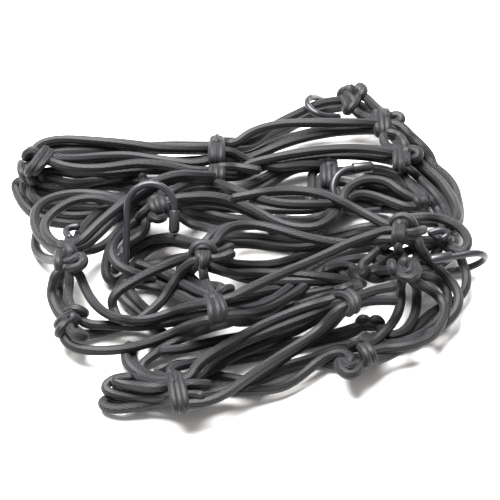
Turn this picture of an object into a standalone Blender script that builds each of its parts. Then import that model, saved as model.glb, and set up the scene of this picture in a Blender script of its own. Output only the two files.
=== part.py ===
"""Elastic cargo net, gathered into a loose bundle on a table, with its wire hooks.

Lengths in the tables are millimetres.  A spot is written (x, back, up): x to the
right, back away from the viewer, up above the table.  x and back tell where the
spot is seen against the table top from VIEWER and up is its real height, so a
spot can be raised or lowered and still be seen in the same place.
"""

import bmesh
import bpy
import numpy as np
from mathutils import Matrix

MM = 0.001
CORD = 2.5                      # radius of the shock cord
PRESSED = 2.1                   # height of a cord's middle where it lies flattened on the table
WIRE = 1.8                      # radius of a hook's wire with its coating
SLEEVE = 2.8                    # radius of the plastic sleeve on a hook's tip
WIRE_SIDES = 10
FREE = 0.5                      # air between cords that cross
AT_WIRE = 0.2                   # least air between a cord and a hook's wire, as the cords are laid
VOXEL = 0.8                     # grain at which the strands grow together
FLAT = 0.8                      # corners of the net lower than this lie on the table
NET_TRIANGLES = 11600
VIEWER = np.array([0.0, -848.5, 866.5])
MIDDLE = np.array([-1.16, 16.22, 0.0])   # of the bundle's outline, which becomes the origin
SLOPE = 0.707                   # sine of the angle at which the viewer looks down
SQUASH = np.array([1.0, SLOPE])  # the table top as seen: depth looks shorter
HELD = 3                        # length of cord that a knot holds at its own height
FREED = 12                      # length after which a cord is free of its knot
SELF_NEAR = 14                  # length of cord that isn't laid over itself
TAKEN_UP = 0.6                  # share of an overlap that is taken up in one round of laying
EVENING = 0.35                  # pull of each spot towards its neighbours' height, per round
SINKING = 0.03                  # pull of each spot back to its height in the tables, per round
KNOT_TURNS = 3                  # ridges along a knot
KNOT_RIDGE = 0.14               # rise of the ridges, as a share of the knot's half width
KNOT_TAPER = 0.72               # how far a knot closes in at its ends

# name of a knot: x, back, up, lean of its long axis in degrees, half length, half width
KNOTS = {
    "rear_left":       (-115.5, 96.5, 20, 150, 6.5, 5),
    "rear_left_low":   (-116.5, 83, 13, 100, 7.5, 5),
    "rear_mid":        (-16, 100, 22, 90, 8.4, 4.2),
    "rear_mid_low":    (-16, 82.5, 19, 90, 5.4, 4.2),
    "peak":            (59, 143.5, 15, 100, 9.4, 5.4),
    "peak_right":      (77.5, 121.5, 18, 80, 9, 4.8),
    "shoulder":        (86.5, 94, 19, 75, 7.6, 5),
    "shade":           (45.5, 81.5, 11, 90, 7.8, 4.6),
    "hook_knot":       (-47.5, 55, 24, 105, 8.2, 5),
    "left":            (-92.5, 16.5, 22, 80, 8, 6.2),
    "front_left":      (-89.5, -30.5, 12, 60, 7.6, 5.8),
    "crown":           (-22.5, 20.5, 34, 90, 7, 5.4),
    "middle":          (-15.5, -19, 32, 100, 8.4, 4.6),
    "front_right":     (52.5, -14.5, 28, 110, 7, 5.2),
    "right":           (82, 37, 34, 90, 7.4, 5.4),
    "right_loop":      (83, 10, 26, 90, 6.6, 5.2),
    "front":           (-34.5, -78, 15, 100, 9.6, 3.8),
    "curl":            (59.5, -52.5, 14, 105, 6.6, 4),
    "curl_end":        (50.5, -61, 11, 150, 4.8, 5),
    "twin":            (63, -31.5, 7, 0, 6.4, 4.4),
    "cross":           (58.5, 2.5, 14, 30, 5.4, 4.6),
    "right_end":       (103.5, 30.5, 15, 60, 4.8, 4.6),
    "far_mesh":        (94, 60, 13, 60, 5.8, 4.8),
}

# A cord between two knots, or loose ends: from, to, height halfway, (x, back) on the way.
# The rows stand in the order in which the cords are laid, so a later one lies nearer the viewer.
UNDER = [
    ("rear_left_low", "hook_knot", 1, [(-124.3, 74), (-122.4, 65), (-117.8, 55.5), (-108.5, 46.5), (-95, 43),
        (-82, 43.5), (-66, 48)]),
    ("rear_left_low", "hook_knot", 8, [(-120.3, 73), (-117, 65), (-111, 56.5), (-102, 50), (-90, 48),
        (-76, 51), (-62, 55)]),
    ("rear_left_low", "hook_knot", 6, [(-116, 70), (-108, 66), (-97, 66.5), (-85, 69), (-73, 71.5),
        (-60, 68)]),
    ("rear_left_low", "rear_mid_low", 9, [(-111, 72), (-100, 69.7), (-90, 71.5), (-80, 75), (-69, 76),
        (-57, 74.5), (-40, 76)]),
    ("rear_left_low", (-55, 66, 8), 11, [(-106, 77), (-97, 74), (-87, 74), (-76, 77), (-66, 79.7),
        (-58.5, 80.5), (-55.3, 77)]),
    ("rear_left_low", "rear_mid_low", 12, [(-105, 83), (-92, 81), (-74, 81.5), (-52, 84), (-36, 82.5)]),
    ("rear_left_low", "hook_knot", 2, [(-115, 64), (-107, 57), (-97, 54.7), (-86, 54.5), (-72, 55)]),
    ("left", "hook_knot", 8, [(-80.5, 22.5), (-72.5, 28.5), (-67, 37), (-60, 46)]),
    ("hook_knot", (-62, 3, 6), 8, [(-60, 42), (-67, 33), (-71.3, 24), (-72.9, 12), (-72.2, 3),
        (-68, -1.7)]),
    ("crown", (-36, -44, 6), 6, [(-32, 17), (-42, 14), (-51, 10.5), (-59, 5), (-65, -3), (-64, -12),
        (-58.5, -19), (-51, -27)]),
    ("crown", (-44, -28, 9), 8, [(-31, 26.5), (-39, 28.5), (-47, 26), (-54.5, 18.5), (-59.5, 9), (-61, -1),
        (-59, -9), (-54, -17)]),
    ("crown", (-68, 8, 10), 12, [(-30.5, 29), (-39, 32), (-48, 30.5), (-57, 24.5)]),
    ("middle", (-46, 4, 6), 8, [(-24, -12), (-32, -8), (-39, -3)]),
    ("middle", (-44, 8, 8), 11, [(-12, -5.5), (-20, -3), (-30, 0)]),
    ("crown", "middle", 6, [(-28, 8), (-30, 1), (-25, -9)]),
    ("crown", (30, 3, 6), 8, [(-15, 10.5), (-9, 6), (0, 3.5), (13, 2)]),
    ("middle", (-48, -44, 5), 6, [(-6, -28.5), (-15, -32), (-25, -36.5), (-35, -42)]),
    ("front_left", "middle", 3, [(-83, -38), (-76, -37.3), (-69, -34.3), (-60, -32), (-48, -31), (-34, -29)]),
    ("front_left", "middle", 9, [(-80, -31), (-70, -31.6), (-60, -32.5), (-48, -32), (-34, -27.5)]),
    ("middle", "front", 5, [(-24, -35), (-36, -43), (-45, -51), (-52, -59.5), (-50, -67), (-43, -71)]),
    ("front", "twin", 3.5, [(-45, -64.5), (-37, -59.5), (-22, -57.5), (-6, -55.5), (10, -51.5),
        (26, -46.5), (42, -41), (54, -37)]),
    ("front", "twin", 5, [(-38, -63), (-28, -58), (-14, -55), (0, -50), (16, -45.5), (32, -41.5),
        (48, -36.5)]),
    ("front", "curl", 4, [(-24, -65), (-13, -66.5), (-3, -69), (6, -69.5), (14, -65), (23, -60.5),
        (34, -57), (46, -58)]),
    ("front", "curl", 3.5, [(-22, -73), (-11, -73.5), (-1, -73), (9, -66.5), (19, -60), (31, -55.5),
        (44, -49)]),
    ("curl_end", "front", 5, [(52.5, -54.5), (49.5, -50.5), (42.5, -52), (36, -57), (30, -63.5),
        (24, -69.5), (17, -74), (8, -76), (-2, -76.5), (-14, -77)]),
    ("cross", "middle", 8, [(51, -3), (42, -6.5), (32, -9.5), (22, -12), (12, -14.5), (2, -16.7)]),
    ("cross", "middle", 10, [(50, 3.5), (42, 2), (32, -1.2), (20, -4.8), (8, -8.5)]),
    ("front_right", "middle", 9, [(43, -10.5), (33, -15), (22, -20.5), (10, -26.5), (-3, -29.5)]),
    ("crown", "cross", 12, [(-11, 14.5), (-3, 10.5), (6, 8), (15, 8), (26, 9.5), (42, 9)]),
    ("far_mesh", (-15, 13, 8), 8, [(84, 48), (72, 40), (58, 30.5), (46, 25), (34, 20.5), (22, 14.5),
        (12, 11.5), (0, 11.5)]),
    ("right_loop", "middle", 14, [(74, 20), (66, 24.3), (56, 22), (44, 15), (35, 8), (29, 1.5),
        (22, -5.5), (14, -13.5), (5, -19)]),
    ("right_loop", "middle", 17, [(76, 13.5), (68, 15.7), (58, 16), (49, 13.5), (41, 8.5), (34.5, 1.5),
        (28, -6.5), (20, -14), (11, -20.5), (1, -24)]),
    ("crown", "right", 8, [(-14, 31), (0, 32), (14, 30.5), (30, 29), (46, 33.5), (60, 38.5), (72, 41)]),
    ("crown", "right", 11, [(-12, 26.5), (2, 27), (16, 24.5), (30, 24), (46, 29.5), (62, 35.5)]),
    ("middle", (-60, 2, 3), 3, [(-24, -15), (-33, -10), (-42, -5), (-51, -1)]),
    ("middle", (-62, -1, 4), 3, [(-24, -16.5), (-32, -11.5), (-41, -7), (-51, -4)]),
    ("middle", (-34, 9, 4), 3, [(-20, -8), (-26, -1)]),
    ("crown", "cross", 3, [(-19, 9.5), (-12, 7), (-3, 2.5), (10, -0.5), (30, -0.5)]),
    ("far_mesh", (14, 36, 4), 4.3, [(72, 58), (61, 54.5), (53, 49), (45, 42), (35, 38), (24, 36.5)]),
    ("cross", "right", 3, [(60, 10), (66, 18), (73, 26)]),
    ("peak", "peak_right", 5, [(63, 138), (68.5, 131.5)]),
    ("middle", (-56, 12, 4), 4, [(-22, -9), (-30, -4), (-38, 2), (-47, 8)]),
    ("crown", (-66, 15, 4), 4, [(-31, 29), (-41, 31.5), (-50, 30), (-57, 25), (-62, 19.5)]),
    ("crown", "cross", 4, [(-15, 8), (-6, 5), (5, 5.5), (18, 5), (34, 3.5)]),
    ("right_end", "cross", 3, [(97, 25), (88, 23), (79, 18.5), (70, 11)]),
    ("right_loop", "cross", 4, [(75, 4), (67, 1)]),
    ("right_loop", "cross", 3, [(74, 8), (67, 6.5)]),
    ("cross", (42, 8, 4), 3, [(55, 10), (48.5, 10.5)]),
    ("cross", "front_right", 5, [(58, -5)]),
    ("right_loop", "right_end", 6, [(90, 13), (97, 17), (101, 23)]),
    ("right", "right_loop", 6, [(88, 28), (89.5, 21), (88.5, 14)]),
    ("right", "right_end", 12, [(92.5, 29.5), (98, 29.5)]),
    ("right", "right_end", 8, [(91, 42), (99, 43), (105.5, 40.5), (109.5, 35.5), (110, 28)]),
    ("peak_right", "shoulder", 8, [(86, 117), (91.5, 108), (92.5, 101)]),
    ("peak_right", "shoulder", 6, [(80, 112), (84, 105)]),
    ("peak_right", "right_end", 5, [(83, 117), (89, 110.5), (94.5, 103), (98, 94), (101.5, 84),
        (106.5, 76), (110.5, 67), (112, 56)]),
    ("shoulder", "right_end", 6, [(92, 88), (98, 79.5), (103.7, 70), (108, 60), (110.3, 50)]),
    ("crown", "middle", 5, [(-22, 4), (-20, -4)]),
    ("far_mesh", "right_end", 3, [(98.5, 61), (101.8, 54), (104, 44)]),
    ((4, 60, 3), (50, 61, 4), 3, [(14, 61.7), (24, 62.7), (36, 62.7)]),
    ((65, 84.5, 4), "far_mesh", 5, [(73, 81.5), (80.5, 77), (87, 70)]),
    ("hook_knot", (-8, 66, 6), 6, [(-37, 67), (-28, 70.5), (-18, 70.3)]),
    ("hook_knot", (-4, 43, 4), 4, [(-35, 52.5), (-27, 47.7), (-17, 45)]),
    ("hook_knot", "crown", 10, [(-38, 52), (-33.5, 46), (-27.5, 41.3), (-20, 39), (-16, 35.5)]),
    ("hook_knot", "far_mesh", 8, [(-36, 56), (-27, 52), (-17, 48.7), (-7, 46), (5, 45), (18, 45.5),
        (31, 45), (42, 48.5), (51, 55.5), (62, 60), (76, 59)]),
    ("hook_knot", "far_mesh", 6, [(-38, 61), (-27, 57), (-13, 54.5), (2, 53.7), (20, 52.5), (36, 53.5),
        (46, 58.5), (56, 64.5), (70, 67), (83, 65)]),
    ("shade", (-8, 66, 8), 8, [(39, 86), (28, 85), (20, 80), (13, 73), (4, 67)]),
    ("shade", (-14, 64, 8), 11, [(39, 90), (27, 88.5), (16, 82.5), (7, 75.5), (-4, 69)]),
    ("shade", (34, 60, 6), 6, [(38, 85), (35.5, 79), (35.5, 71)]),
    ("shade", (42, 58, 6), 6, [(42, 80), (40.5, 71)]),
    ("shoulder", "rear_mid_low", 12, [(80, 91.5), (68, 94.5), (54, 96), (38, 94.5), (22, 91), (8, 86),
        (-4, 79)]),
    ("shade", "far_mesh", 8, [(54, 83), (64, 85), (74, 84.3), (83, 79.5), (90, 72)]),
    ("shade", "far_mesh", 6, [(54, 74), (63, 69.5), (73, 68.5), (82, 63.5)]),
    ("shade", "far_mesh", 5, [(52, 62), (62, 56), (73, 54), (84, 54)]),
    ("peak_right", "shoulder", 14, [(75.5, 110), (77.5, 103)]),
    ("peak_right", "shoulder", 14, [(83, 113), (87, 105)]),
    ("shoulder", "far_mesh", 10, [(84, 84), (87, 75), (91, 67)]),
    ("peak", "peak_right", 10, [(61, 132), (66, 127.5)]),
    ("peak", "rear_mid", 2, [(50, 134.5), (41, 132.5), (32, 126.5), (22, 118), (12, 111), (2, 102)]),
    ("peak_right", "rear_mid", 8, [(69, 118.5), (55, 118), (42, 116.2), (30, 112.6), (20, 108),
        (10, 101.3), (0, 95)]),
    ("shoulder", "right_end", 3, [(90, 83), (96, 74), (102, 64.5), (106.3, 54), (108, 43)]),
    ("right_end", "right_loop", 9, [(108, 22), (103, 13.5), (94, 8)]),
    ("right_end", "curl", 8, [(110.5, 22), (113, 12), (114.3, 3), (113, -6), (108, -14), (100, -19),
        (93, -25), (87, -33), (78, -42), (68, -46)]),
    ("right_loop", "curl", 6, [(97, 2), (103, -6), (103, -17), (98, -28), (91, -36), (82, -42),
        (71, -45)]),
    ("left", "front_left", 4, [(-96, 4), (-96.5, -6), (-95, -17)]),
    ("right_loop", "twin", 7, [(87.7, -3), (87.8, -12), (86.6, -22), (83.3, -31), (78, -37.5), (71, -38.5)]),
    ((83, -45, 4), "curl", 5, [(76, -49.5), (69, -54)]),
]
OVER = [
    ("right_loop", "curl", 9, [(79.8, -3), (79.6, -12), (78.2, -21), (74.2, -30.5), (68.6, -38.5),
        (63.5, -44.5)]),
    ("right", (93, -37.5, 4), 12, [(90, 31), (91.3, 25), (94.5, 17.5), (99.3, 9.7), (104.3, 2.5),
        (108, -5), (109.3, -12), (108, -20), (103.8, -27.5), (98.5, -33.5)]),
    ("right_loop", "curl", 8, [(90, -2.5), (98, -10), (101.5, -18.5), (100.5, -27), (96, -36.5),
        (88, -43.5), (78, -46.8), (68, -48.3)]),
    ("peak_right", "right_end", 10, [(85, 120.5), (90.8, 112), (96.7, 103.3), (100.7, 95), (102.2, 87),
        (107.3, 80.5), (111.7, 72), (113.4, 61.5), (113.7, 50), (111, 39)]),
    ("shoulder", "right_end", 14, [(93, 92), (98.5, 84), (104.7, 75.5), (109, 66), (112, 57),
        (112.5, 47)]),
    ((55, 61.5, 18.5), "far_mesh", 13, [(57.5, 63.8), (62.5, 65), (69, 63.3), (78, 58.8), (87, 54.5)]),
    ((51.5, 59.5, 18.5), "far_mesh", 17, [(52.7, 65.5), (56.5, 71), (62, 75), (69.5, 76.3), (77, 73.5),
        (82.5, 67.5)]),
    ("right", "right_end", 20, [(84, 45.5), (91, 47), (99, 47), (106.5, 44.7), (112.3, 40), (116, 34),
        (116.7, 27), (112.5, 21)]),
    ("peak", "peak_right", 16, [(65.5, 145.2), (69.4, 140.2), (73, 134.7)]),
    ("peak", "rear_mid", 16, [(51, 141), (44, 139.7), (37, 136), (30, 131), (21, 124.5), (12, 117),
        (3, 108)]),
    ("peak_right", "rear_mid", 17, [(70, 116.3), (55, 115.4), (42, 113.1), (30, 109.2), (20, 104.5),
        (10, 98.5), (0, 92.8)]),
    ("peak_right", "rear_mid", 24, [(70, 122), (52, 122.4), (34, 122.4), (20, 121.3), (9, 118),
        (0.5, 112.5), (-6, 105.5)]),
    ("rear_mid", "shade", 12, [(-9, 99), (-2, 93.5), (7, 88.5), (18, 86.5), (30, 88)]),
    ("shoulder", "rear_mid_low", 20, [(79, 98.5), (68, 100.7), (55, 101.3), (42, 100.2), (28, 97.3),
        (14, 93.3), (2, 88.5), (-6, 82)]),
    ("rear_left", "rear_mid", 8, [(-104, 90.5), (-92, 90.5), (-78, 91.5), (-64, 92.3), (-50, 90.5)]),
    ("rear_mid_low", (6, 84, 6), 6, [(-10, 86.5), (-3, 86)]),
    ("rear_left", "rear_mid", 15, [(-104, 95.5), (-92, 94.5), (-78, 97), (-62, 99.2), (-48, 100.2),
        (-34, 99.8)]),
    ("rear_left", "rear_mid", 18, [(-104, 97.3), (-92, 98.6), (-80, 99), (-66, 100.5), (-54, 102.8),
        (-42, 103.8), (-30, 103.6)]),
    ("rear_left", "rear_mid", 17, [(-111, 102), (-103, 105), (-91, 105.7), (-76, 104.5), (-62, 103),
        (-48, 101), (-32, 100.6)]),
    ("rear_left", "rear_mid", 22, [(-114.3, 103.3), (-108, 107.3), (-100, 108.6), (-91, 108.2), (-76, 106.7),
        (-62, 104.7), (-48, 102), (-32, 101.6)]),
    ("rear_left", "rear_mid", 20, [(-104, 93.5), (-92, 93.2), (-78, 95), (-64, 95.5), (-52, 93.3),
        (-40, 91), (-28, 89.5)]),
    ("rear_left", "rear_mid_low", 22, [(-107, 91), (-99, 87), (-90, 85.3), (-80, 85.4), (-70, 87.2),
        (-60, 89.2), (-50, 88.8), (-40, 87), (-28, 83.5)]),
    ("left", "hook_knot", 10, [(-89.7, 28), (-88, 35), (-84.5, 42), (-80.5, 48.5), (-74, 54), (-65, 57)]),
    ("left", (-110, 40, 4), 1, [(-99, 14.8), (-104.5, 16), (-108.6, 19.5), (-110.6, 25), (-110.7, 32)]),
    ("left", "hook_knot", 14, [(-100, 22), (-105.5, 28), (-110.3, 36), (-112.6, 45), (-111.5, 54),
        (-107, 60), (-99, 64), (-88, 65.5), (-76, 64), (-62, 60)]),
    ("left", "hook_knot", 19, [(-99, 26.5), (-104.5, 32.5), (-106.8, 40), (-104.8, 47), (-99.8, 54),
        (-93, 59.5), (-85, 62), (-77, 61.5), (-69, 58.8), (-60, 57)]),
    ("left", "front_left", 10, [(-98.5, 5), (-100, -3), (-100, -11), (-97.8, -19), (-94, -26)]),
    ("left", "front_left", 14, [(-92, 5), (-91.3, -4), (-91.5, -12), (-89.5, -19)]),
    ("hook_knot", (-49, 1, 10), 18.5, [(-59, 44), (-65.5, 35), (-69.7, 27), (-70.3, 20), (-68, 13.5),
        (-63.5, 8.7), (-57, 5)]),
    ("crown", (-65.5, -26, 4), 22, [(-28, 18.5), (-35, 15), (-43, 10.3), (-51, 5), (-58.5, -1),
        (-66, -8), (-68.9, -14), (-67.8, -20)]),
    ("crown", (-55, -29, 4), 15, [(-27.5, 14), (-32, 9), (-35.5, 3), (-38.3, -4), (-41.3, -11),
        (-45.5, -18), (-50.5, -24)]),
    ((-56.5, -46.5, 3), "front", 4, [(-57, -52), (-56.3, -57), (-54, -61.5), (-50, -65)]),
    ((-59, -46, 3), "front", 7, [(-60.4, -50.5), (-60, -56), (-57.5, -61), (-53, -65.5), (-46, -69)]),
    ("left", "middle", 12, [(-87.3, 6), (-83.8, -3.5), (-79.8, -12.5), (-74.5, -20.5), (-67, -26.2),
        (-58, -28.5), (-49, -27.7), (-40, -23.7), (-30, -19)]),
    ("front_left", "middle", 9, [(-92.5, -38.5), (-90.5, -43.5), (-86, -47.3), (-77, -49.2), (-67, -49),
        (-58, -47.3), (-49, -43.8), (-40, -39), (-29, -32)]),
    ("hook_knot", (-62.5, 27, 18), 16, [(-53.3, 46), (-52.8, 40), (-55.5, 34), (-59.3, 30)]),
    ("front", "front", 4, [(-46, -83), (-57, -83.3), (-66, -81.3), (-70.8, -83), (-70.2, -86.3),
        (-64, -88.3), (-55, -87), (-45, -84.8)]),
    ("front", (-64, -74, 3), 3, [(-45, -77.5), (-55, -76.8)]),
    ("front", "front", 7, [(-44, -80.5), (-55, -80.5), (-64, -78.7), (-69.8, -75.7), (-68.7, -71),
        (-63.5, -67.8), (-55, -68), (-45, -70)]),
    ("front", (-58, -67, 8), 11, [(-44, -73.8), (-54, -73.2), (-62, -71.3), (-66, -69)]),
    ("front_right", (-42, -49.5, 8), 12, [(33, -21.5), (21, -27.5), (9, -34), (-1, -39), (-14, -42.3),
        (-24, -45.5), (-33, -48.3)]),
    ("front_right", "front", 8, [(43, -22), (35, -28.5), (26, -35), (16, -40.5), (5, -47), (-6, -53),
        (-17, -62)]),
    ("front_right", "front", 9, [(50, -22), (44.8, -29.5), (38, -37), (29.5, -45), (20, -53), (10, -62),
        (0, -70.5), (-12, -77)]),
    ("front_right", "front", 17, [(43, -18.5), (32, -25), (20, -31.5), (8, -38), (-3, -44.5), (-12, -51),
        (-18.5, -58), (-23.5, -67)]),
    ("front_right", "front", 20, [(44, -13.5), (34, -17.5), (22, -23.5), (11, -30), (1, -37),
        (-9, -44.5), (-18, -52), (-25, -60), (-28.5, -68)]),
    ("front_right", "front", 17, [(48, -20), (41.5, -29), (34.5, -37.5), (26.5, -45), (17, -53),
        (7, -62), (-3, -71.5), (-12, -79.5), (-20.5, -84), (-28, -85)]),
    ("front_right", (76, -14.3, 22), 24, [(61, -15), (68, -14.3)]),
    ("front_right", (76, -4.5, 24), 26, [(60, -10), (68, -6.5)]),
    ("hook_knot", (45.5, 51, 12), 22, [(-40, 57.5), (-31, 58.3), (-20, 59), (-10, 57), (-1, 52.5), (8, 47),
        (18, 43.5), (29, 42.5), (38, 44)]),
    ("hook_knot", (50.5, 58, 18), 28, [(-38, 61.5), (-29, 63), (-19, 63.3), (-10, 61), (-2, 57), (6, 51.5),
        (13, 45.7), (21, 41), (29, 39), (37, 39.7), (43.5, 44.5), (48, 51)]),
    ("hook_knot", (51, 58.5, 24), 32, [(-41, 66), (-35, 71), (-28, 74.3), (-20, 74.8), (-12, 72),
        (-4, 67.2), (4, 62.8), (12, 59.3), (21, 57.3), (31, 56.9), (42, 57.2)]),
    ("right", (-6, 62, 22), 28, [(76, 40.3), (69, 45.3), (61, 51.5), (53, 57.5), (45, 63), (37, 66.2),
        (27, 67.6), (17, 67.3), (7, 65.7)]),
    ("left", "rear_mid_low", 28, [(-85.5, 25), (-80, 31.5), (-75, 39), (-70, 47), (-65, 54.5),
        (-59.5, 61), (-53, 67.5), (-46, 73), (-37, 76.5), (-27, 77.5)]),
    ("left", "rear_mid_low", 30, [(-87.5, 28), (-83, 34.5), (-77.8, 42.5), (-71.8, 50.5), (-65.5, 58.3),
        (-58.5, 65.5), (-51.5, 72.5), (-43.5, 78), (-34, 80.6), (-25, 80)]),
    ("crown", (4, 41, 26), 30, [(-19.5, 31), (-15, 36.5), (-8, 40)]),
    ("crown", "right", 30, [(-16.5, 27), (-14, 33.5), (-9, 39), (-2, 41.3), (6, 41), (14, 38.7),
        (22, 35.7), (30, 32.5), (38, 30), (47, 28), (56, 27), (67, 29.5)]),
    ("middle", "right", 34, [(-8, -12.5), (1, -6.3), (11, 0.3), (21, 6.5), (32, 13), (43, 20),
        (54, 27.3), (65, 33), (74, 36.8)]),
    ("crown", (-8.5, 24.5, 33), 35, [(-15, 20.5)]),
    ("front", (-19.5, -72, 14), 15, [(-27, -71.7)]),
    ("front", (-22.5, -79.5, 11), 12, [(-27, -79)]),
    ("right", (93.5, 37.5, 32), 35, [(87.5, 35)]),
    ("right", "right_loop", 32, [(79.5, 25), (80.8, 20), (82.5, 15.5)]),
    ("crown", (-8, 19.5, 30), 31, [(-14.5, 16)]),
]
# a J-shaped hook: foot and top of its shank, a spot on the side of its tip, length of its tip
HOOKS = {
    "top":   ((-62.6, 11.5, 13.4), (-63.5, 55, 36.2), (-39, 54, 36.2), 10.5),
    "rear":  ((71, 52.8, 8.5), (60.5, 51.3, 9.8), (60.5, 85.3, 20.8), 10.5),
    "right": ((94.7, 3.8, 4.4), (110, 7.5, 4.4), (109.7, 19.3, 29.1), 17.5),
}
# outline of the cap on a hook's tip: distance past the wire's end, radius
SLEEVE_PROFILE = [(0.4, 2.2), (-9.5, 2.2), (-9.5, 2.8), (0.6, 2.8), (1.7, 2.35), (2.3, 1.1)]
HOOK_ARCH = 12.2                # radius of the wire's middle in the arch
# the wire eyes of buried hooks: the spots their wire runs through
EYES = {
    "peak": ((43, 140.8, 10.5), (40.3, 143, 13), (37, 144.2, 18.6), (34.3, 141.2, 21.3), (34.6, 136.8, 22.4),
             (36.7, 132.8, 21.9), (39.8, 129.8, 21.5), (44, 128, 19.5), (51, 127.6, 15.5)),
    "left": ((-93, 32, 25.4), (-95.3, 36, 23.5), (-93.5, 39.3, 23), (-89.5, 40, 23)),
    "right_end": ((97.5, 35.3, 23.7), (100.3, 36.6, 24.4), (103, 37.2, 24.6), (105.6, 36, 23.8),
                  (106.2, 33, 22.8), (104, 31.3, 22.3)),
}


# ---------------------------------------------------------------- curves

def lies(track):
    """World spots in mm of rows (x, back, up), each slid along its sight line to its height."""
    flat = track * [1, 1, 0]
    return flat + (VIEWER - flat) * track[:, 2:] / VIEWER[2]


def lengths(points):
    """Distance run along a line of points, from its start to each point."""
    steps = np.linalg.norm(np.diff(points, axis=0), axis=1)
    return np.concatenate([[0.0], np.cumsum(steps)])


def resample(points, measure, count):
    """count points evenly spaced in the given measure along a line."""
    at = np.linspace(0, measure[-1], count)
    return np.stack([np.interp(at, measure, column) for column in points.T], axis=1)


def smooth_through(spots, step):
    """A Catmull-Rom line through the spots with a point about every step mm."""
    spots = np.asarray(spots, dtype=float)
    wide = np.vstack([2 * spots[0] - spots[1], spots, 2 * spots[-1] - spots[-2]])
    gaps = np.maximum(np.linalg.norm(np.diff(wide[:, :2], axis=0), axis=1), 0.01) ** 0.5
    knot = np.concatenate([[0.0], np.cumsum(gaps)])[:, None]

    def blend(a, b, at_a, at_b, at):
        return ((at_b - at) * a + (at - at_a) * b) / (at_b - at_a)

    pieces = []
    for i in range(len(wide) - 3):
        p, k = wide[i:i + 4], knot[i:i + 4]
        at = np.linspace(k[1], k[2], 13)[:-1] if i < len(wide) - 4 else np.linspace(k[1], k[2], 13)
        a = [blend(p[j], p[j + 1], k[j], k[j + 1], at) for j in range(3)]
        b = [blend(a[j], a[j + 1], k[j], k[j + 2], at) for j in range(2)]
        pieces.append(blend(b[0], b[1], k[1], k[2], at))
    line = np.vstack(pieces)
    run = lengths(line[:, :2])
    return resample(line, run, max(3, int(np.ceil(run[-1] / step)) + 1))


def anchor(end, toward):
    """Where a cord enters a knot: the spot on the knot's long axis that lies nearest its way."""
    if not isinstance(end, str):
        return end
    x, back, up, lean, half_length, _ = KNOTS[end]
    axis = np.array([np.cos(np.radians(lean)), np.sin(np.radians(lean))])
    away = (np.array(toward[:2]) - [x, back]) * SQUASH
    along = np.clip(away @ axis, -0.6 * half_length, 0.6 * half_length)
    return (x + along * axis[0], back + along * axis[1] / SQUASH[1], up)


def track_of(cord, step=3.0):
    """Rows (x, back, up) along one cord of the tables."""
    start, end, up, way = cord
    spots = [anchor(start, way[0])] + [(x, back, up) for x, back in way] + [anchor(end, way[-1])]
    return smooth_through(spots, step)


def hook_wire(foot, top, beside, tip):
    """The middle line of a J-shaped hook in mm: shank, arch and tip in one plane."""
    foot, top, beside = lies(np.array([foot, top, beside], dtype=float))
    shank = np.linalg.norm(top - foot)
    along = (top - foot) / shank
    across = (beside - top) - ((beside - top) @ along) * along
    across /= np.linalg.norm(across)
    arch = np.radians(np.linspace(180, 0, 13))
    bend = HOOK_ARCH * np.stack([1 + np.cos(arch), np.sin(arch)], axis=1) + [0, shank]
    flat = np.vstack([[[0, 0]], bend, [[2 * HOOK_ARCH, shank - tip]]])
    return foot + flat[:, :1] * across + flat[:, 1:] * along


def eye_wire(spots):
    """The middle line in mm of a wire eye that runs through the spots."""
    return lies(smooth_through(spots, 3.0))


# ---------------------------------------------------------------- laying the cords

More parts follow.
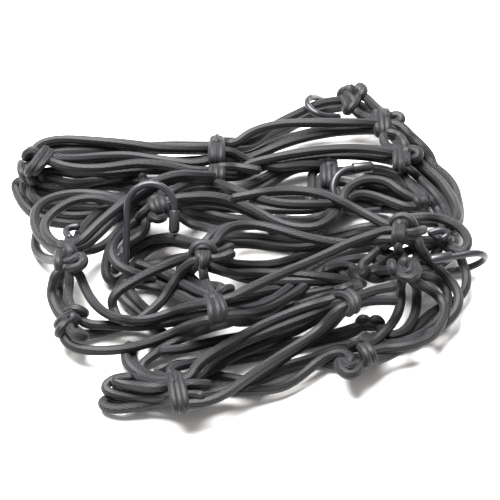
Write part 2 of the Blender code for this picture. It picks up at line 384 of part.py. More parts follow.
def settle(tracks, ends, wires, rounds=260):
    """Ease the cords apart up and down, so that each lies on those laid before it.

    Only heights change.  Every pair of points that are seen closer together than a
    cord's thickness must differ in height by at least what it takes to clear, except
    close to a knot that both cords share.  A cord stays on the side of a hook's wire
    that its height in the tables puts it.
    """
    counts = [len(track) for track in tracks]
    first = np.concatenate([[0], np.cumsum(counts)[:-1]])
    row = np.repeat(np.arange(len(tracks)), counts)
    points = np.vstack(tracks)
    seen = points[:, :2] * SQUASH
    told = points[:, 2]
    up = told.copy()
    run = np.concatenate([lengths(lies(track)) for track in tracks])
    full = np.repeat(run[first + np.array(counts) - 1], counts)
    names = np.array([[e if isinstance(e, str) else "" for e in pair] for pair in ends])[row]
    home = np.where(run < FREED, names[:, 0], np.where(full - run < FREED, names[:, 1], ""))
    to_start = np.where(names[:, 0] == "", 1.0, np.clip((run - HELD) / (FREED - HELD), 0, 1))
    to_end = np.where(names[:, 1] == "", 1.0, np.clip((full - run - HELD) / (FREED - HELD), 0, 1))
    loose = np.minimum(to_start, to_end)
    inner = (run > 0) & (run < full)
    middle = np.nonzero(inner)[0]

    apart = np.linalg.norm(seen[:, None] - seen[None], axis=2)
    clear = 2 * CORD + FREE
    above, below = np.nonzero(apart < clear)
    later = (row[above] > row[below]) | ((row[above] == row[below]) & (run[above] - run[below] > SELF_NEAR))
    at_home = (home[above] == home[below]) & (home[above] != "")
    above, below = above[later & ~at_home], below[later & ~at_home]
    need = np.sqrt(clear ** 2 - apart[above, below] ** 2) * SLOPE

    metal = np.vstack(wires)
    metal_seen, metal_up = metal[:, :2] * SQUASH, metal[:, 2]
    from_metal = np.linalg.norm(seen[:, None] - metal_seen[None], axis=2)
    reach = CORD + metal[None, :, 3] + AT_WIRE
    cord_at, metal_at = np.nonzero(from_metal < reach)
    room = np.sqrt(np.maximum(reach[0, metal_at] ** 2 - from_metal[cord_at, metal_at] ** 2, 0)) * SLOPE
    side = np.sign(up[cord_at] - metal_up[metal_at] + 0.01)

    for _ in range(rounds):
        lack = need - (up[above] - up[below])
        short = lack > 0
        a, b, lack = above[short], below[short], lack[short]
        give = loose[b] * np.clip((up[b] - PRESSED) / 2, 0, 1)
        share = loose[a] / (loose[a] + give + 1e-6)
        rise, sink = np.zeros(len(up)), np.zeros(len(up))
        np.maximum.at(rise, a, TAKEN_UP * lack * share)
        np.maximum.at(sink, b, TAKEN_UP * lack * (1 - share) * (give > 0))
        up = up + rise - sink
        sag = np.zeros(len(up))
        sag[middle] = 0.5 * (up[middle - 1] + up[middle + 1]) - up[middle]
        up = np.maximum(up + (EVENING * sag + SINKING * (told - up)) * loose, PRESSED)
        short = room - side * (up[cord_at] - metal_up[metal_at])
        push = np.where(short > 0, side * short, 0)
        lift, drop = np.zeros(len(up)), np.zeros(len(up))
        np.maximum.at(lift, cord_at, push)
        np.minimum.at(drop, cord_at, push)
        up = np.maximum(up + lift + drop, PRESSED)
    return [np.column_stack([points[s:s + n, :2], up[s:s + n]]) for s, n in zip(first, counts)]


# ---------------------------------------------------------------- solids

def coarse(line, slack, longest):
    """Fewer points along a line: close together in bends, at most longest mm apart."""
    steps = np.diff(line, axis=0)
    size = np.linalg.norm(steps, axis=1)
    heading = steps / size[:, None]
    bend = np.linalg.norm(np.diff(heading, axis=0), axis=1) / (0.5 * (size[1:] + size[:-1]))
    bend = np.concatenate([bend[:1], 0.5 * (bend[1:] + bend[:-1]), bend[-1:]])
    measure = np.concatenate([[0.0], np.cumsum((1 / longest + np.sqrt(bend / (8 * slack))) * size)])
    return resample(line, measure, max(3, int(np.ceil(measure[-1])) + 1))


def skin(rings):
    """Corners and faces of a closed tube through rings of corners, capped at both ends."""
    count, sides = rings.shape[:2]
    at = np.arange(count * sides).reshape(count, sides)
    next_round = np.roll(at, -1, axis=1)
    quads = np.stack([at[:-1], next_round[:-1], next_round[1:], at[1:]], axis=-1).reshape(-1, 4)
    faces = quads.tolist() + [at[0, ::-1].tolist(), at[-1].tolist()]
    return rings.reshape(-1, 3), faces


def tube(line, radius, sides):
    """A tube of the given radius (one number or one per point) along a line in mm."""
    heading = np.gradient(line, axis=0)
    heading /= np.linalg.norm(heading, axis=1)[:, None]
    aside = np.cross(heading, [0.0, 0.0, 1.0])
    aside /= np.linalg.norm(aside, axis=1)[:, None]
    over = np.cross(aside, heading)
    around = 2 * np.pi * (np.arange(sides) + 0.5) / sides - np.pi / 2
    radius = np.broadcast_to(radius, len(line))[:, None, None]
    spread = np.cos(around)[:, None] * aside[:, None] + np.sin(around)[:, None] * over[:, None]
    return skin(line[:, None] + radius * spread)


def ring_frames(line):
    """Directions across a line that don't twist about it, for wires that bend steeply."""
    heading = np.gradient(line, axis=0)
    heading /= np.linalg.norm(heading, axis=1)[:, None]
    across = [np.cross(heading[0], [0.3, 0.5, 0.8])]
    for direction in heading:
        side = across[-1] - (across[-1] @ direction) * direction
        across.append(side / np.linalg.norm(side))
    across = np.array(across[1:])
    return across, np.cross(across, heading)


def wire_tube(line, radius, sides):
    """A tube along a wire that may bend in any direction."""
    across, over = ring_frames(line)
    around = 2 * np.pi * np.arange(sides) / sides
    radius = np.broadcast_to(radius, len(line))[:, None, None]
    spread = np.cos(around)[:, None] * across[:, None] + np.sin(around)[:, None] * over[:, None]
    return skin(line[:, None] + radius * spread)


def knot_frame(knot):
    """Middle of a knot in mm, and its directions: along, aside and towards the viewer."""
    x, back, up, lean, _, _ = knot
    middle = lies(np.array([[x, back, up]], dtype=float))[0]
    toward = (VIEWER - middle) / np.linalg.norm(VIEWER - middle)
    right = np.array([1.0, 0.0, 0.0])
    raised = np.cross(toward, right)
    along = np.cos(np.radians(lean)) * right + np.sin(np.radians(lean)) * raised
    return middle, along, np.cross(along, toward), toward


def barrel(knot):
    """A ridged barrel: cord wound three times about the others."""
    middle, along, aside, toward = knot_frame(knot)
    half_length, half_width = knot[4:]
    turns = np.linspace(-1, 1, 19)
    wound = 1 - KNOT_RIDGE + KNOT_RIDGE * np.cos(turns * KNOT_TURNS * np.pi)
    ridge = np.sqrt(1 - KNOT_TAPER * turns ** 4) * wound
    around = 2 * np.pi * np.arange(12) / 12
    spread = np.cos(around)[:, None] * aside + np.sin(around)[:, None] * toward
    spine = middle + (turns * half_length)[:, None, None] * along
    return skin(spine + half_width * ridge[:, None, None] * spread)


def sleeve(end, along, wire_frames):
    """A plastic cap pushed over the straight tip of a hook, with a little air round the wire."""
    profile = np.array(SLEEVE_PROFILE)
    around = 2 * np.pi * np.arange(WIRE_SIDES) / WIRE_SIDES
    spread = np.cos(around)[:, None] * wire_frames[0] + np.sin(around)[:, None] * wire_frames[1]
    return skin(end + profile[:, :1, None] * along + profile[:, 1:, None] * spread)


def material(name, color, roughness, metallic):
    """A plain named material."""
    made = bpy.data.materials.new(name)
    made.use_nodes = True
    shader = made.node_tree.nodes["Principled BSDF"]
    shader.inputs["Base Color"].default_value = (*color, 1)
    shader.inputs["Roughness"].default_value = roughness
    shader.inputs["Metallic"].default_value = metallic
    return made


def solid(name, shape, made_of):
    """An object from corners in mm and faces, flattened where it would dip below the table."""
    corners, faces = shape
    corners = corners.copy()
    corners[:, 2] = np.maximum(corners[:, 2], 0)
    mesh = bpy.data.meshes.new(name)
    mesh.from_pydata((corners * MM).tolist(), [], faces)
    mesh.update()
    mesh.flip_normals()
    mesh.materials.append(made_of)
    return bpy.data.objects.new(name, mesh)


def clear_scene():
    """Start from nothing."""
    for old in list(bpy.data.objects):
        bpy.data.objects.remove(old)


def loose_bits_gone(mesh):
    """Keep only the largest connected body of a mesh."""
    body = bmesh.new()
    body.from_mesh(mesh)
    unseen = set(body.verts)
    groups = []
    while unseen:
        group = [unseen.pop()]
        for corner in group:
            near = [edge.other_vert(corner) for edge in corner.link_edges]
            near = [other for other in near if other in unseen]
            unseen.difference_update(near)
            group.extend(near)
        groups.append(group)
    groups.sort(key=len)
    loose = [corner for group in groups[:-1] for corner in group]
    bmesh.ops.delete(body, geom=loose, context="VERTS")
    body.to_mesh(mesh)
    body.free()


def applied(thing):
    """The mesh of an object with its modifiers carried out."""
    graph = bpy.context.evaluated_depsgraph_get()
    mesh = bpy.data.meshes.new_from_object(thing.evaluated_get(graph))
    thing.modifiers.clear()
    return mesh


def fused_net(tracks, stuff):
    """All the strands and knots grown together into one body of a modest triangle count."""
    shapes = [tube(coarse(lies(track), 0.15, 12), CORD, 8) for track in tracks]
    shapes += [barrel(knot) for knot in KNOTS.values()]
    first = np.concatenate([[0], np.cumsum([len(corners) for corners, _ in shapes])])
    corners = np.vstack([corners for corners, _ in shapes])
    faces = [[at + start for at in face] for start, (_, part) in zip(first, shapes) for face in part]
    net = solid("net", (corners, faces), stuff)
    bpy.context.scene.collection.objects.link(net)

    grown = net.modifiers.new("grow_together", "REMESH")
    grown.mode = "VOXEL"
    grown.voxel_size = VOXEL * MM
    net.data = applied(net)
    loose_bits_gone(net.data)

    lighter = net.modifiers.new("lighter", "DECIMATE")
    lighter.ratio = NET_TRIANGLES / (2 * len(net.data.polygons))
    lighter.use_collapse_triangulate = True
    net.data = applied(net)
    net.data.materials.clear()
    net.data.materials.append(stuff)
    for corner in net.data.vertices:
        if corner.co.z < FLAT * MM:
            corner.co.z = 0
    return net


def wire_track(line, cap):
    """Rows (x, back, up, radius) of a wire, as the viewer sees it, for laying cords about it."""
    total = lengths(line)[-1]
    line = resample(line, lengths(line), int(total / 1.5))
    up = line[:, 2:]
    flat = (line[:, :2] - VIEWER[:2] * up / VIEWER[2]) / (1 - up / VIEWER[2])
    radius = np.where(lengths(line) < total - cap, WIRE, SLEEVE)
    return np.column_stack([flat, up, radius])


def add_wire(name, line, stuff):
    """A hook's wire."""
    line = coarse(line, 0.12, 12)
    wire = solid(name, wire_tube(line, WIRE, WIRE_SIDES), stuff)
    bpy.context.scene.collection.objects.link(wire)
    return line


def add_sleeve(name, line, stuff):
    """The cap on the straight tip at the end of a hook's wire."""
    across, over = ring_frames(line)
    along = (line[-1] - line[-2]) / np.linalg.norm(line[-1] - line[-2])
    cap = solid(name, sleeve(line[-1], along, (across[-1], over[-1])), stuff)
    bpy.context.scene.collection.objects.link(cap)


def main():
    """Build the net and its hooks."""
    clear_scene()
    cord_stuff = material("cord", (0.06, 0.06, 0.065), 0.75, 0.0)
    wire_stuff = material("hook_wire", (0.12, 0.12, 0.14), 0.4, 0.5)
    sleeve_stuff = material("tip_sleeve", (0.07, 0.07, 0.08), 0.5, 0.0)

    hooks = {name: hook_wire(*spots) for name, spots in HOOKS.items()}
    eyes = {name: eye_wire(spots) for name, spots in EYES.items()}
    cords = UNDER + OVER
    tracks = [track_of(cord) for cord in cords]
    metal = [wire_track(line, 12) for line in hooks.values()]
    metal += [wire_track(line, -1) for line in eyes.values()]
    tracks = settle(tracks, [cord[:2] for cord in cords], metal)
    fused_net(tracks, cord_stuff)

    for name, line in hooks.items():
        line = add_wire("hook_" + name, line, wire_stuff)
        add_sleeve("sleeve_" + name, line, sleeve_stuff)
    for name, line in eyes.items():
        add_wire("hook_" + name, line, wire_stuff)
    for thing in bpy.context.scene.objects:
        thing.data.transform(Matrix.Translation(-MIDDLE * MM))


if __name__ == "__main__":
    main()
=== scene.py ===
"""Looks of an elastic cargo net that lies gathered in a loose bundle, with its wire hooks.

Lengths in the tables are millimetres.  A spot is written (x, back, up): x to the
right, back away from the viewer, up above the table.  x and back tell where the
spot is seen against the table top from VIEWER and up is its real height.
"""

import bpy
import numpy as np
from bpy.props import FloatProperty, FloatVectorProperty, PointerProperty
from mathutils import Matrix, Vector


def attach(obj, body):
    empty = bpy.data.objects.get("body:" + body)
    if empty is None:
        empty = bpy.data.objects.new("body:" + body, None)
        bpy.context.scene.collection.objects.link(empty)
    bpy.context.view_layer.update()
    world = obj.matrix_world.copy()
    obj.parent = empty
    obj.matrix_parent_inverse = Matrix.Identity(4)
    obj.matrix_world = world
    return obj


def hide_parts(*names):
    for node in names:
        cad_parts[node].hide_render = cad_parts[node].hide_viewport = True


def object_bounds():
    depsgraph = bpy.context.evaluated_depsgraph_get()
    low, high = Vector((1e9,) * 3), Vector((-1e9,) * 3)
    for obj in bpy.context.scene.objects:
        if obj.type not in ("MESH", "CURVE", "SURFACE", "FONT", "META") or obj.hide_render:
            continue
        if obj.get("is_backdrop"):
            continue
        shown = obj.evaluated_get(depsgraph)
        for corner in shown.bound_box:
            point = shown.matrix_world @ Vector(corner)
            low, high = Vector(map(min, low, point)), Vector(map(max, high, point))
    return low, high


bl_info = {
    "name": "Gathered cargo net",
    "version": (1, 0, 0),
    "blender": (4, 5, 0),
    "location": "View3D > Sidebar > Cargo net",
    "description": "Braided elastic cords, wound knots and coated wire hooks of a gathered net",
    "category": "Object",
}

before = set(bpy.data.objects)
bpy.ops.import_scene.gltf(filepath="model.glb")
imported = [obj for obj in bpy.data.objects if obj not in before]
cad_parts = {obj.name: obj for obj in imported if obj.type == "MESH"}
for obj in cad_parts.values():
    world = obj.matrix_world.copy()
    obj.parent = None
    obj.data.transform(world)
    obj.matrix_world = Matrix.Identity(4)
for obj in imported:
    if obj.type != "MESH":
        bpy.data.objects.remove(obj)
CAD_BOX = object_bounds()

MM = 0.001
CORD = 2.5                      # radius of the elastic cord
PRESSED = 2.1                   # height of a cord's middle where it lies flattened on the table
WIRE = 1.8                      # radius of a hook's wire with its coating
SLEEVE = 2.8                    # radius of the plastic cap on a hook's tip
FREE = 0.5                      # air between cords that cross
AT_WIRE = 0.2                   # least air between a cord and a hook's wire, as the cords are laid
VIEWER = np.array([0.0, -848.5, 866.5])
CAMERA = np.array([0.0, -848.528, 866.528])
MIDDLE = np.array([-1.16, 16.22, 0.0])   # of the bundle's outline, which becomes the origin
SLOPE = 0.707                   # sine of the angle at which the viewer looks down
SQUASH = np.array([1.0, SLOPE])  # the table top as seen: depth looks shorter
HELD = 3                        # length of cord that a knot holds at its own height
FREED = 12                      # length after which a cord is free of its knot
SELF_NEAR = 14                  # length of cord that isn't laid over itself
TAKEN_UP = 0.6                  # share of an overlap that is taken up in one round of laying
EVENING = 0.35                  # pull of each spot towards its neighbours' height, per round
SINKING = 0.03                  # pull of each spot back to its height in the tables, per round

CORD_SIDES = 16
WIRE_SIDES = 24
RING_STEP = 1.2                 # distance between the rings of a tube
DOME_REACH = 0.47               # how far a rounded end goes towards its pole, of half a turn
BRAID_STRANDS = 12              # strands wound each way round a cord
RIBS = 7                        # lengthwise ribs of the sheath
RIB_TWIST = 90                  # length in which a rib turns by its own width
RIB_SHARE = 0.7                 # of the height of the sheath; the diamonds have the rest
BRAID_PAINTED_SHADE = (1.3, 0.25)       # painted shade in the braid's grooves: brightness of the sheath's colour, as gain over its height, and floor
SHEATH_CLOUD = 110.0            # scale of the unevenness of the sheath
COATING_CLOUD = 260.0           # scale of the unevenness of the coating
COATING_ROUGHNESS = (0.26, 0.44)
COATING_SHADE = (0.8, 1.15)
CORE_LENGTH = 0.8               # of a knot's core, as a share of the knot's
CORE_WIDTH = 0.72
CORE_ROUNDING = 0.8
CAP_LENGTH = 12                 # length of a hook's tip that its cap hides
# the cap's outline with its rounded tip: distance past the wire's end, radius
CAP_PROFILE = [(-9.5, 2.0), (-9.45, 2.65), (-9.2, 2.8), (0.2, 2.8), (0.9, 2.68), (1.5, 2.35), (2.0, 1.8),
               (2.25, 1.1), (2.35, 0.4)]
FLOOR = 1.6                     # half width of the floor in metres
LAMP_PLACE = (-0.3, 0.45, 1.3)  # in metres
LAMP_SIZE = 1.3                 # diameter in metres
LENS = 168.75                   # focal length in mm on a sensor of SENSOR mm
SENSOR = 36
SHIFT = (0.008, 0.012)          # of the picture, to frame the net as the photo does
TILT = 45                       # degrees from straight down

# name of a knot: x, back, up, lean of its long axis in degrees, half length, half width
KNOTS = {
    "rear_left":       (-115.5, 96.5, 20, 150, 6.5, 5),
    "rear_left_low":   (-116.5, 83, 13, 100, 7.5, 5),
    "rear_mid":        (-16, 100, 22, 90, 8.4, 4.2),
    "rear_mid_low":    (-16, 82.5, 19, 90, 5.4, 4.2),
    "peak":            (59, 143.5, 15, 100, 9.4, 5.4),
    "peak_right":      (77.5, 121.5, 18, 80, 9, 4.8),
    "shoulder":        (86.5, 94, 19, 75, 7.6, 5),
    "shade":           (45.5, 81.5, 11, 90, 7.8, 4.6),
    "hook_knot":       (-47.5, 55, 24, 105, 8.2, 5),
    "left":            (-92.5, 16.5, 22, 80, 8, 6.2),
    "front_left":      (-89.5, -30.5, 12, 60, 7.6, 5.8),
    "crown":           (-22.5, 20.5, 34, 90, 7, 5.4),
    "middle":          (-15.5, -19, 32, 100, 8.4, 4.6),
    "front_right":     (52.5, -14.5, 28, 110, 7, 5.2),
    "right":           (82, 37, 34, 90, 7.4, 5.4),
    "right_loop":      (83, 10, 26, 90, 6.6, 5.2),
    "front":           (-34.5, -78, 15, 100, 9.6, 3.8),
    "curl":            (59.5, -52.5, 14, 105, 6.6, 4),
    "curl_end":        (50.5, -61, 11, 150, 4.8, 5),
    "twin":            (63, -31.5, 7, 0, 6.4, 4.4),
    "cross":           (58.5, 2.5, 14, 30, 5.4, 4.6),
    "right_end":       (103.5, 30.5, 15, 60, 4.8, 4.6),
    "far_mesh":        (94, 60, 13, 60, 5.8, 4.8),
}

# A cord between two knots, or loose ends: from, to, height halfway, (x, back) on the way.
# The rows stand in the order in which the cords are laid, so a later one lies nearer the viewer.
UNDER = [
    ("rear_left_low", "hook_knot", 1, [(-124.3, 74), (-122.4, 65), (-117.8, 55.5), (-108.5, 46.5), (-95, 43),
        (-82, 43.5), (-66, 48)]),
    ("rear_left_low", "hook_knot", 8, [(-120.3, 73), (-117, 65), (-111, 56.5), (-102, 50), (-90, 48),
        (-76, 51), (-62, 55)]),
    ("rear_left_low", "hook_knot", 6, [(-116, 70), (-108, 66), (-97, 66.5), (-85, 69), (-73, 71.5),
        (-60, 68)]),
    ("rear_left_low", "rear_mid_low", 9, [(-111, 72), (-100, 69.7), (-90, 71.5), (-80, 75), (-69, 76),
        (-57, 74.5), (-40, 76)]),
    ("rear_left_low", (-55, 66, 8), 11, [(-106, 77), (-97, 74), (-87, 74), (-76, 77), (-66, 79.7),
        (-58.5, 80.5), (-55.3, 77)]),
    ("rear_left_low", "rear_mid_low", 12, [(-105, 83), (-92, 81), (-74, 81.5), (-52, 84), (-36, 82.5)]),
    ("rear_left_low", "hook_knot", 2, [(-115, 64), (-107, 57), (-97, 54.7), (-86, 54.5), (-72, 55)]),
    ("left", "hook_knot", 8, [(-80.5, 22.5), (-72.5, 28.5), (-67, 37), (-60, 46)]),
    ("hook_knot", (-62, 3, 6), 8, [(-60, 42), (-67, 33), (-71.3, 24), (-72.9, 12), (-72.2, 3),
        (-68, -1.7)]),
    ("crown", (-36, -44, 6), 6, [(-32, 17), (-42, 14), (-51, 10.5), (-59, 5), (-65, -3), (-64, -12),
        (-58.5, -19), (-51, -27)]),
    ("crown", (-44, -28, 9), 8, [(-31, 26.5), (-39, 28.5), (-47, 26), (-54.5, 18.5), (-59.5, 9), (-61, -1),
        (-59, -9), (-54, -17)]),
    ("crown", (-68, 8, 10), 12, [(-30.5, 29), (-39, 32), (-48, 30.5), (-57, 24.5)]),
    ("middle", (-46, 4, 6), 8, [(-24, -12), (-32, -8), (-39, -3)]),
    ("middle", (-44, 8, 8), 11, [(-12, -5.5), (-20, -3), (-30, 0)]),
    ("crown", "middle", 6, [(-28, 8), (-30, 1), (-25, -9)]),
    ("crown", (30, 3, 6), 8, [(-15, 10.5), (-9, 6), (0, 3.5), (13, 2)]),
    ("middle", (-48, -44, 5), 6, [(-6, -28.5), (-15, -32), (-25, -36.5), (-35, -42)]),
    ("front_left", "middle", 3, [(-83, -38), (-76, -37.3), (-69, -34.3), (-60, -32), (-48, -31), (-34, -29)]),
    ("front_left", "middle", 9, [(-80, -31), (-70, -31.6), (-60, -32.5), (-48, -32), (-34, -27.5)]),
    ("middle", "front", 5, [(-24, -35), (-36, -43), (-45, -51), (-52, -59.5), (-50, -67), (-43, -71)]),
    ("front", "twin", 3.5, [(-45, -64.5), (-37, -59.5), (-22, -57.5), (-6, -55.5), (10, -51.5),
        (26, -46.5), (42, -41), (54, -37)]),
    ("front", "twin", 5, [(-38, -63), (-28, -58), (-14, -55), (0, -50), (16, -45.5), (32, -41.5),
        (48, -36.5)]),
    ("front", "curl", 4, [(-24, -65), (-13, -66.5), (-3, -69), (6, -69.5), (14, -65), (23, -60.5),
        (34, -57), (46, -58)]),
    ("front", "curl", 3.5, [(-22, -73), (-11, -73.5), (-1, -73), (9, -66.5), (19, -60), (31, -55.5),
        (44, -49)]),
    ("curl_end", "front", 5, [(52.5, -54.5), (49.5, -50.5), (42.5, -52), (36, -57), (30, -63.5),
        (24, -69.5), (17, -74), (8, -76), (-2, -76.5), (-14, -77)]),
    ("cross", "middle", 8, [(51, -3), (42, -6.5), (32, -9.5), (22, -12), (12, -14.5), (2, -16.7)]),
    ("cross", "middle", 10, [(50, 3.5), (42, 2), (32, -1.2), (20, -4.8), (8, -8.5)]),
    ("front_right", "middle", 9, [(43, -10.5), (33, -15), (22, -20.5), (10, -26.5), (-3, -29.5)]),
    ("crown", "cross", 12, [(-11, 14.5), (-3, 10.5), (6, 8), (15, 8), (26, 9.5), (42, 9)]),
    ("far_mesh", (-15, 13, 8), 8, [(84, 48), (72, 40), (58, 30.5), (46, 25), (34, 20.5), (22, 14.5),
        (12, 11.5), (0, 11.5)]),
    ("right_loop", "middle", 14, [(74, 20), (66, 24.3), (56, 22), (44, 15), (35, 8), (29, 1.5),
        (22, -5.5), (14, -13.5), (5, -19)]),
    ("right_loop", "middle", 17, [(76, 13.5), (68, 15.7), (58, 16), (49, 13.5), (41, 8.5), (34.5, 1.5),
        (28, -6.5), (20, -14), (11, -20.5), (1, -24)]),
    ("crown", "right", 8, [(-14, 31), (0, 32), (14, 30.5), (30, 29), (46, 33.5), (60, 38.5), (72, 41)]),
    ("crown", "right", 11, [(-12, 26.5), (2, 27), (16, 24.5), (30, 24), (46, 29.5), (62, 35.5)]),
    ("middle", (-60, 2, 3), 3, [(-24, -15), (-33, -10), (-42, -5), (-51, -1)]),
    ("middle", (-62, -1, 4), 3, [(-24, -16.5), (-32, -11.5), (-41, -7), (-51, -4)]),
    ("middle", (-34, 9, 4), 3, [(-20, -8), (-26, -1)]),
    ("crown", "cross", 3, [(-19, 9.5), (-12, 7), (-3, 2.5), (10, -0.5), (30, -0.5)]),
    ("far_mesh", (14, 36, 4), 4.3, [(72, 58), (61, 54.5), (53, 49), (45, 42), (35, 38), (24, 36.5)]),
    ("cross", "right", 3, [(60, 10), (66, 18), (73, 26)]),
    ("peak", "peak_right", 5, [(63, 138), (68.5, 131.5)]),
    ("middle", (-56, 12, 4), 4, [(-22, -9), (-30, -4), (-38, 2), (-47, 8)]),
    ("crown", (-66, 15, 4), 4, [(-31, 29), (-41, 31.5), (-50, 30), (-57, 25), (-62, 19.5)]),
    ("crown", "cross", 4, [(-15, 8), (-6, 5), (5, 5.5), (18, 5), (34, 3.5)]),
    ("right_end", "cross", 3, [(97, 25), (88, 23), (79, 18.5), (70, 11)]),
    ("right_loop", "cross", 4, [(75, 4), (67, 1)]),
    ("right_loop", "cross", 3, [(74, 8), (67, 6.5)]),
    ("cross", (42, 8, 4), 3, [(55, 10), (48.5, 10.5)]),
    ("cross", "front_right", 5, [(58, -5)]),
    ("right_loop", "right_end", 6, [(90, 13), (97, 17), (101, 23)]),
    ("right", "right_loop", 6, [(88, 28), (89.5, 21), (88.5, 14)]),
    ("right", "right_end", 12, [(92.5, 29.5), (98, 29.5)]),
    ("right", "right_end", 8, [(91, 42), (99, 43), (105.5, 40.5), (109.5, 35.5), (110, 28)]),
    ("peak_right", "shoulder", 8, [(86, 117), (91.5, 108), (92.5, 101)]),
    ("peak_right", "shoulder", 6, [(80, 112), (84, 105)]),
    ("peak_right", "right_end", 5, [(83, 117), (89, 110.5), (94.5, 103), (98, 94), (101.5, 84),
        (106.5, 76), (110.5, 67), (112, 56)]),
    ("shoulder", "right_end", 6, [(92, 88), (98, 79.5), (103.7, 70), (108, 60), (110.3, 50)]),
    ("crown", "middle", 5, [(-22, 4), (-20, -4)]),
    ("far_mesh", "right_end", 3, [(98.5, 61), (101.8, 54), (104, 44)]),
    ((4, 60, 3), (50, 61, 4), 3, [(14, 61.7), (24, 62.7), (36, 62.7)]),
    ((65, 84.5, 4), "far_mesh", 5, [(73, 81.5), (80.5, 77), (87, 70)]),
    ("hook_knot", (-8, 66, 6), 6, [(-37, 67), (-28, 70.5), (-18, 70.3)]),
    ("hook_knot", (-4, 43, 4), 4, [(-35, 52.5), (-27, 47.7), (-17, 45)]),
    ("hook_knot", "crown", 10, [(-38, 52), (-33.5, 46), (-27.5, 41.3), (-20, 39), (-16, 35.5)]),
    ("hook_knot", "far_mesh", 8, [(-36, 56), (-27, 52), (-17, 48.7), (-7, 46), (5, 45), (18, 45.5),
        (31, 45), (42, 48.5), (51, 55.5), (62, 60), (76, 59)]),
    ("hook_knot", "far_mesh", 6, [(-38, 61), (-27, 57), (-13, 54.5), (2, 53.7), (20, 52.5), (36, 53.5),
        (46, 58.5), (56, 64.5), (70, 67), (83, 65)]),
    ("shade", (-8, 66, 8), 8, [(39, 86), (28, 85), (20, 80), (13, 73), (4, 67)]),
    ("shade", (-14, 64, 8), 11, [(39, 90), (27, 88.5), (16, 82.5), (7, 75.5), (-4, 69)]),
    ("shade", (34, 60, 6), 6, [(38, 85), (35.5, 79), (35.5, 71)]),
    ("shade", (42, 58, 6), 6, [(42, 80), (40.5, 71)]),
    ("shoulder", "rear_mid_low", 12, [(80, 91.5), (68, 94.5), (54, 96), (38, 94.5), (22, 91), (8, 86),
        (-4, 79)]),
    ("shade", "far_mesh", 8, [(54, 83), (64, 85), (74, 84.3), (83, 79.5), (90, 72)]),
    ("shade", "far_mesh", 6, [(54, 74), (63, 69.5), (73, 68.5), (82, 63.5)]),
    ("shade", "far_mesh", 5, [(52, 62), (62, 56), (73, 54), (84, 54)]),
    ("peak_right", "shoulder", 14, [(75.5, 110), (77.5, 103)]),
    ("peak_right", "shoulder", 14, [(83, 113), (87, 105)]),
    ("shoulder", "far_mesh", 10, [(84, 84), (87, 75), (91, 67)]),
    ("peak", "peak_right", 10, [(61, 132), (66, 127.5)]),
    ("peak", "rear_mid", 2, [(50, 134.5), (41, 132.5), (32, 126.5), (22, 118), (12, 111), (2, 102)]),
    ("peak_right", "rear_mid", 8, [(69, 118.5), (55, 118), (42, 116.2), (30, 112.6), (20, 108),
        (10, 101.3), (0, 95)]),
    ("shoulder", "right_end", 3, [(90, 83), (96, 74), (102, 64.5), (106.3, 54), (108, 43)]),
    ("right_end", "right_loop", 9, [(108, 22), (103, 13.5), (94, 8)]),
    ("right_end", "curl", 8, [(110.5, 22), (113, 12), (114.3, 3), (113, -6), (108, -14), (100, -19),
        (93, -25), (87, -33), (78, -42), (68, -46)]),
    ("right_loop", "curl", 6, [(97, 2), (103, -6), (103, -17), (98, -28), (91, -36), (82, -42),
        (71, -45)]),
    ("left", "front_left", 4, [(-96, 4), (-96.5, -6), (-95, -17)]),
    ("right_loop", "twin", 7, [(87.7, -3), (87.8, -12), (86.6, -22), (83.3, -31), (78, -37.5), (71, -38.5)]),
    ((83, -45, 4), "curl", 5, [(76, -49.5), (69, -54)]),
]
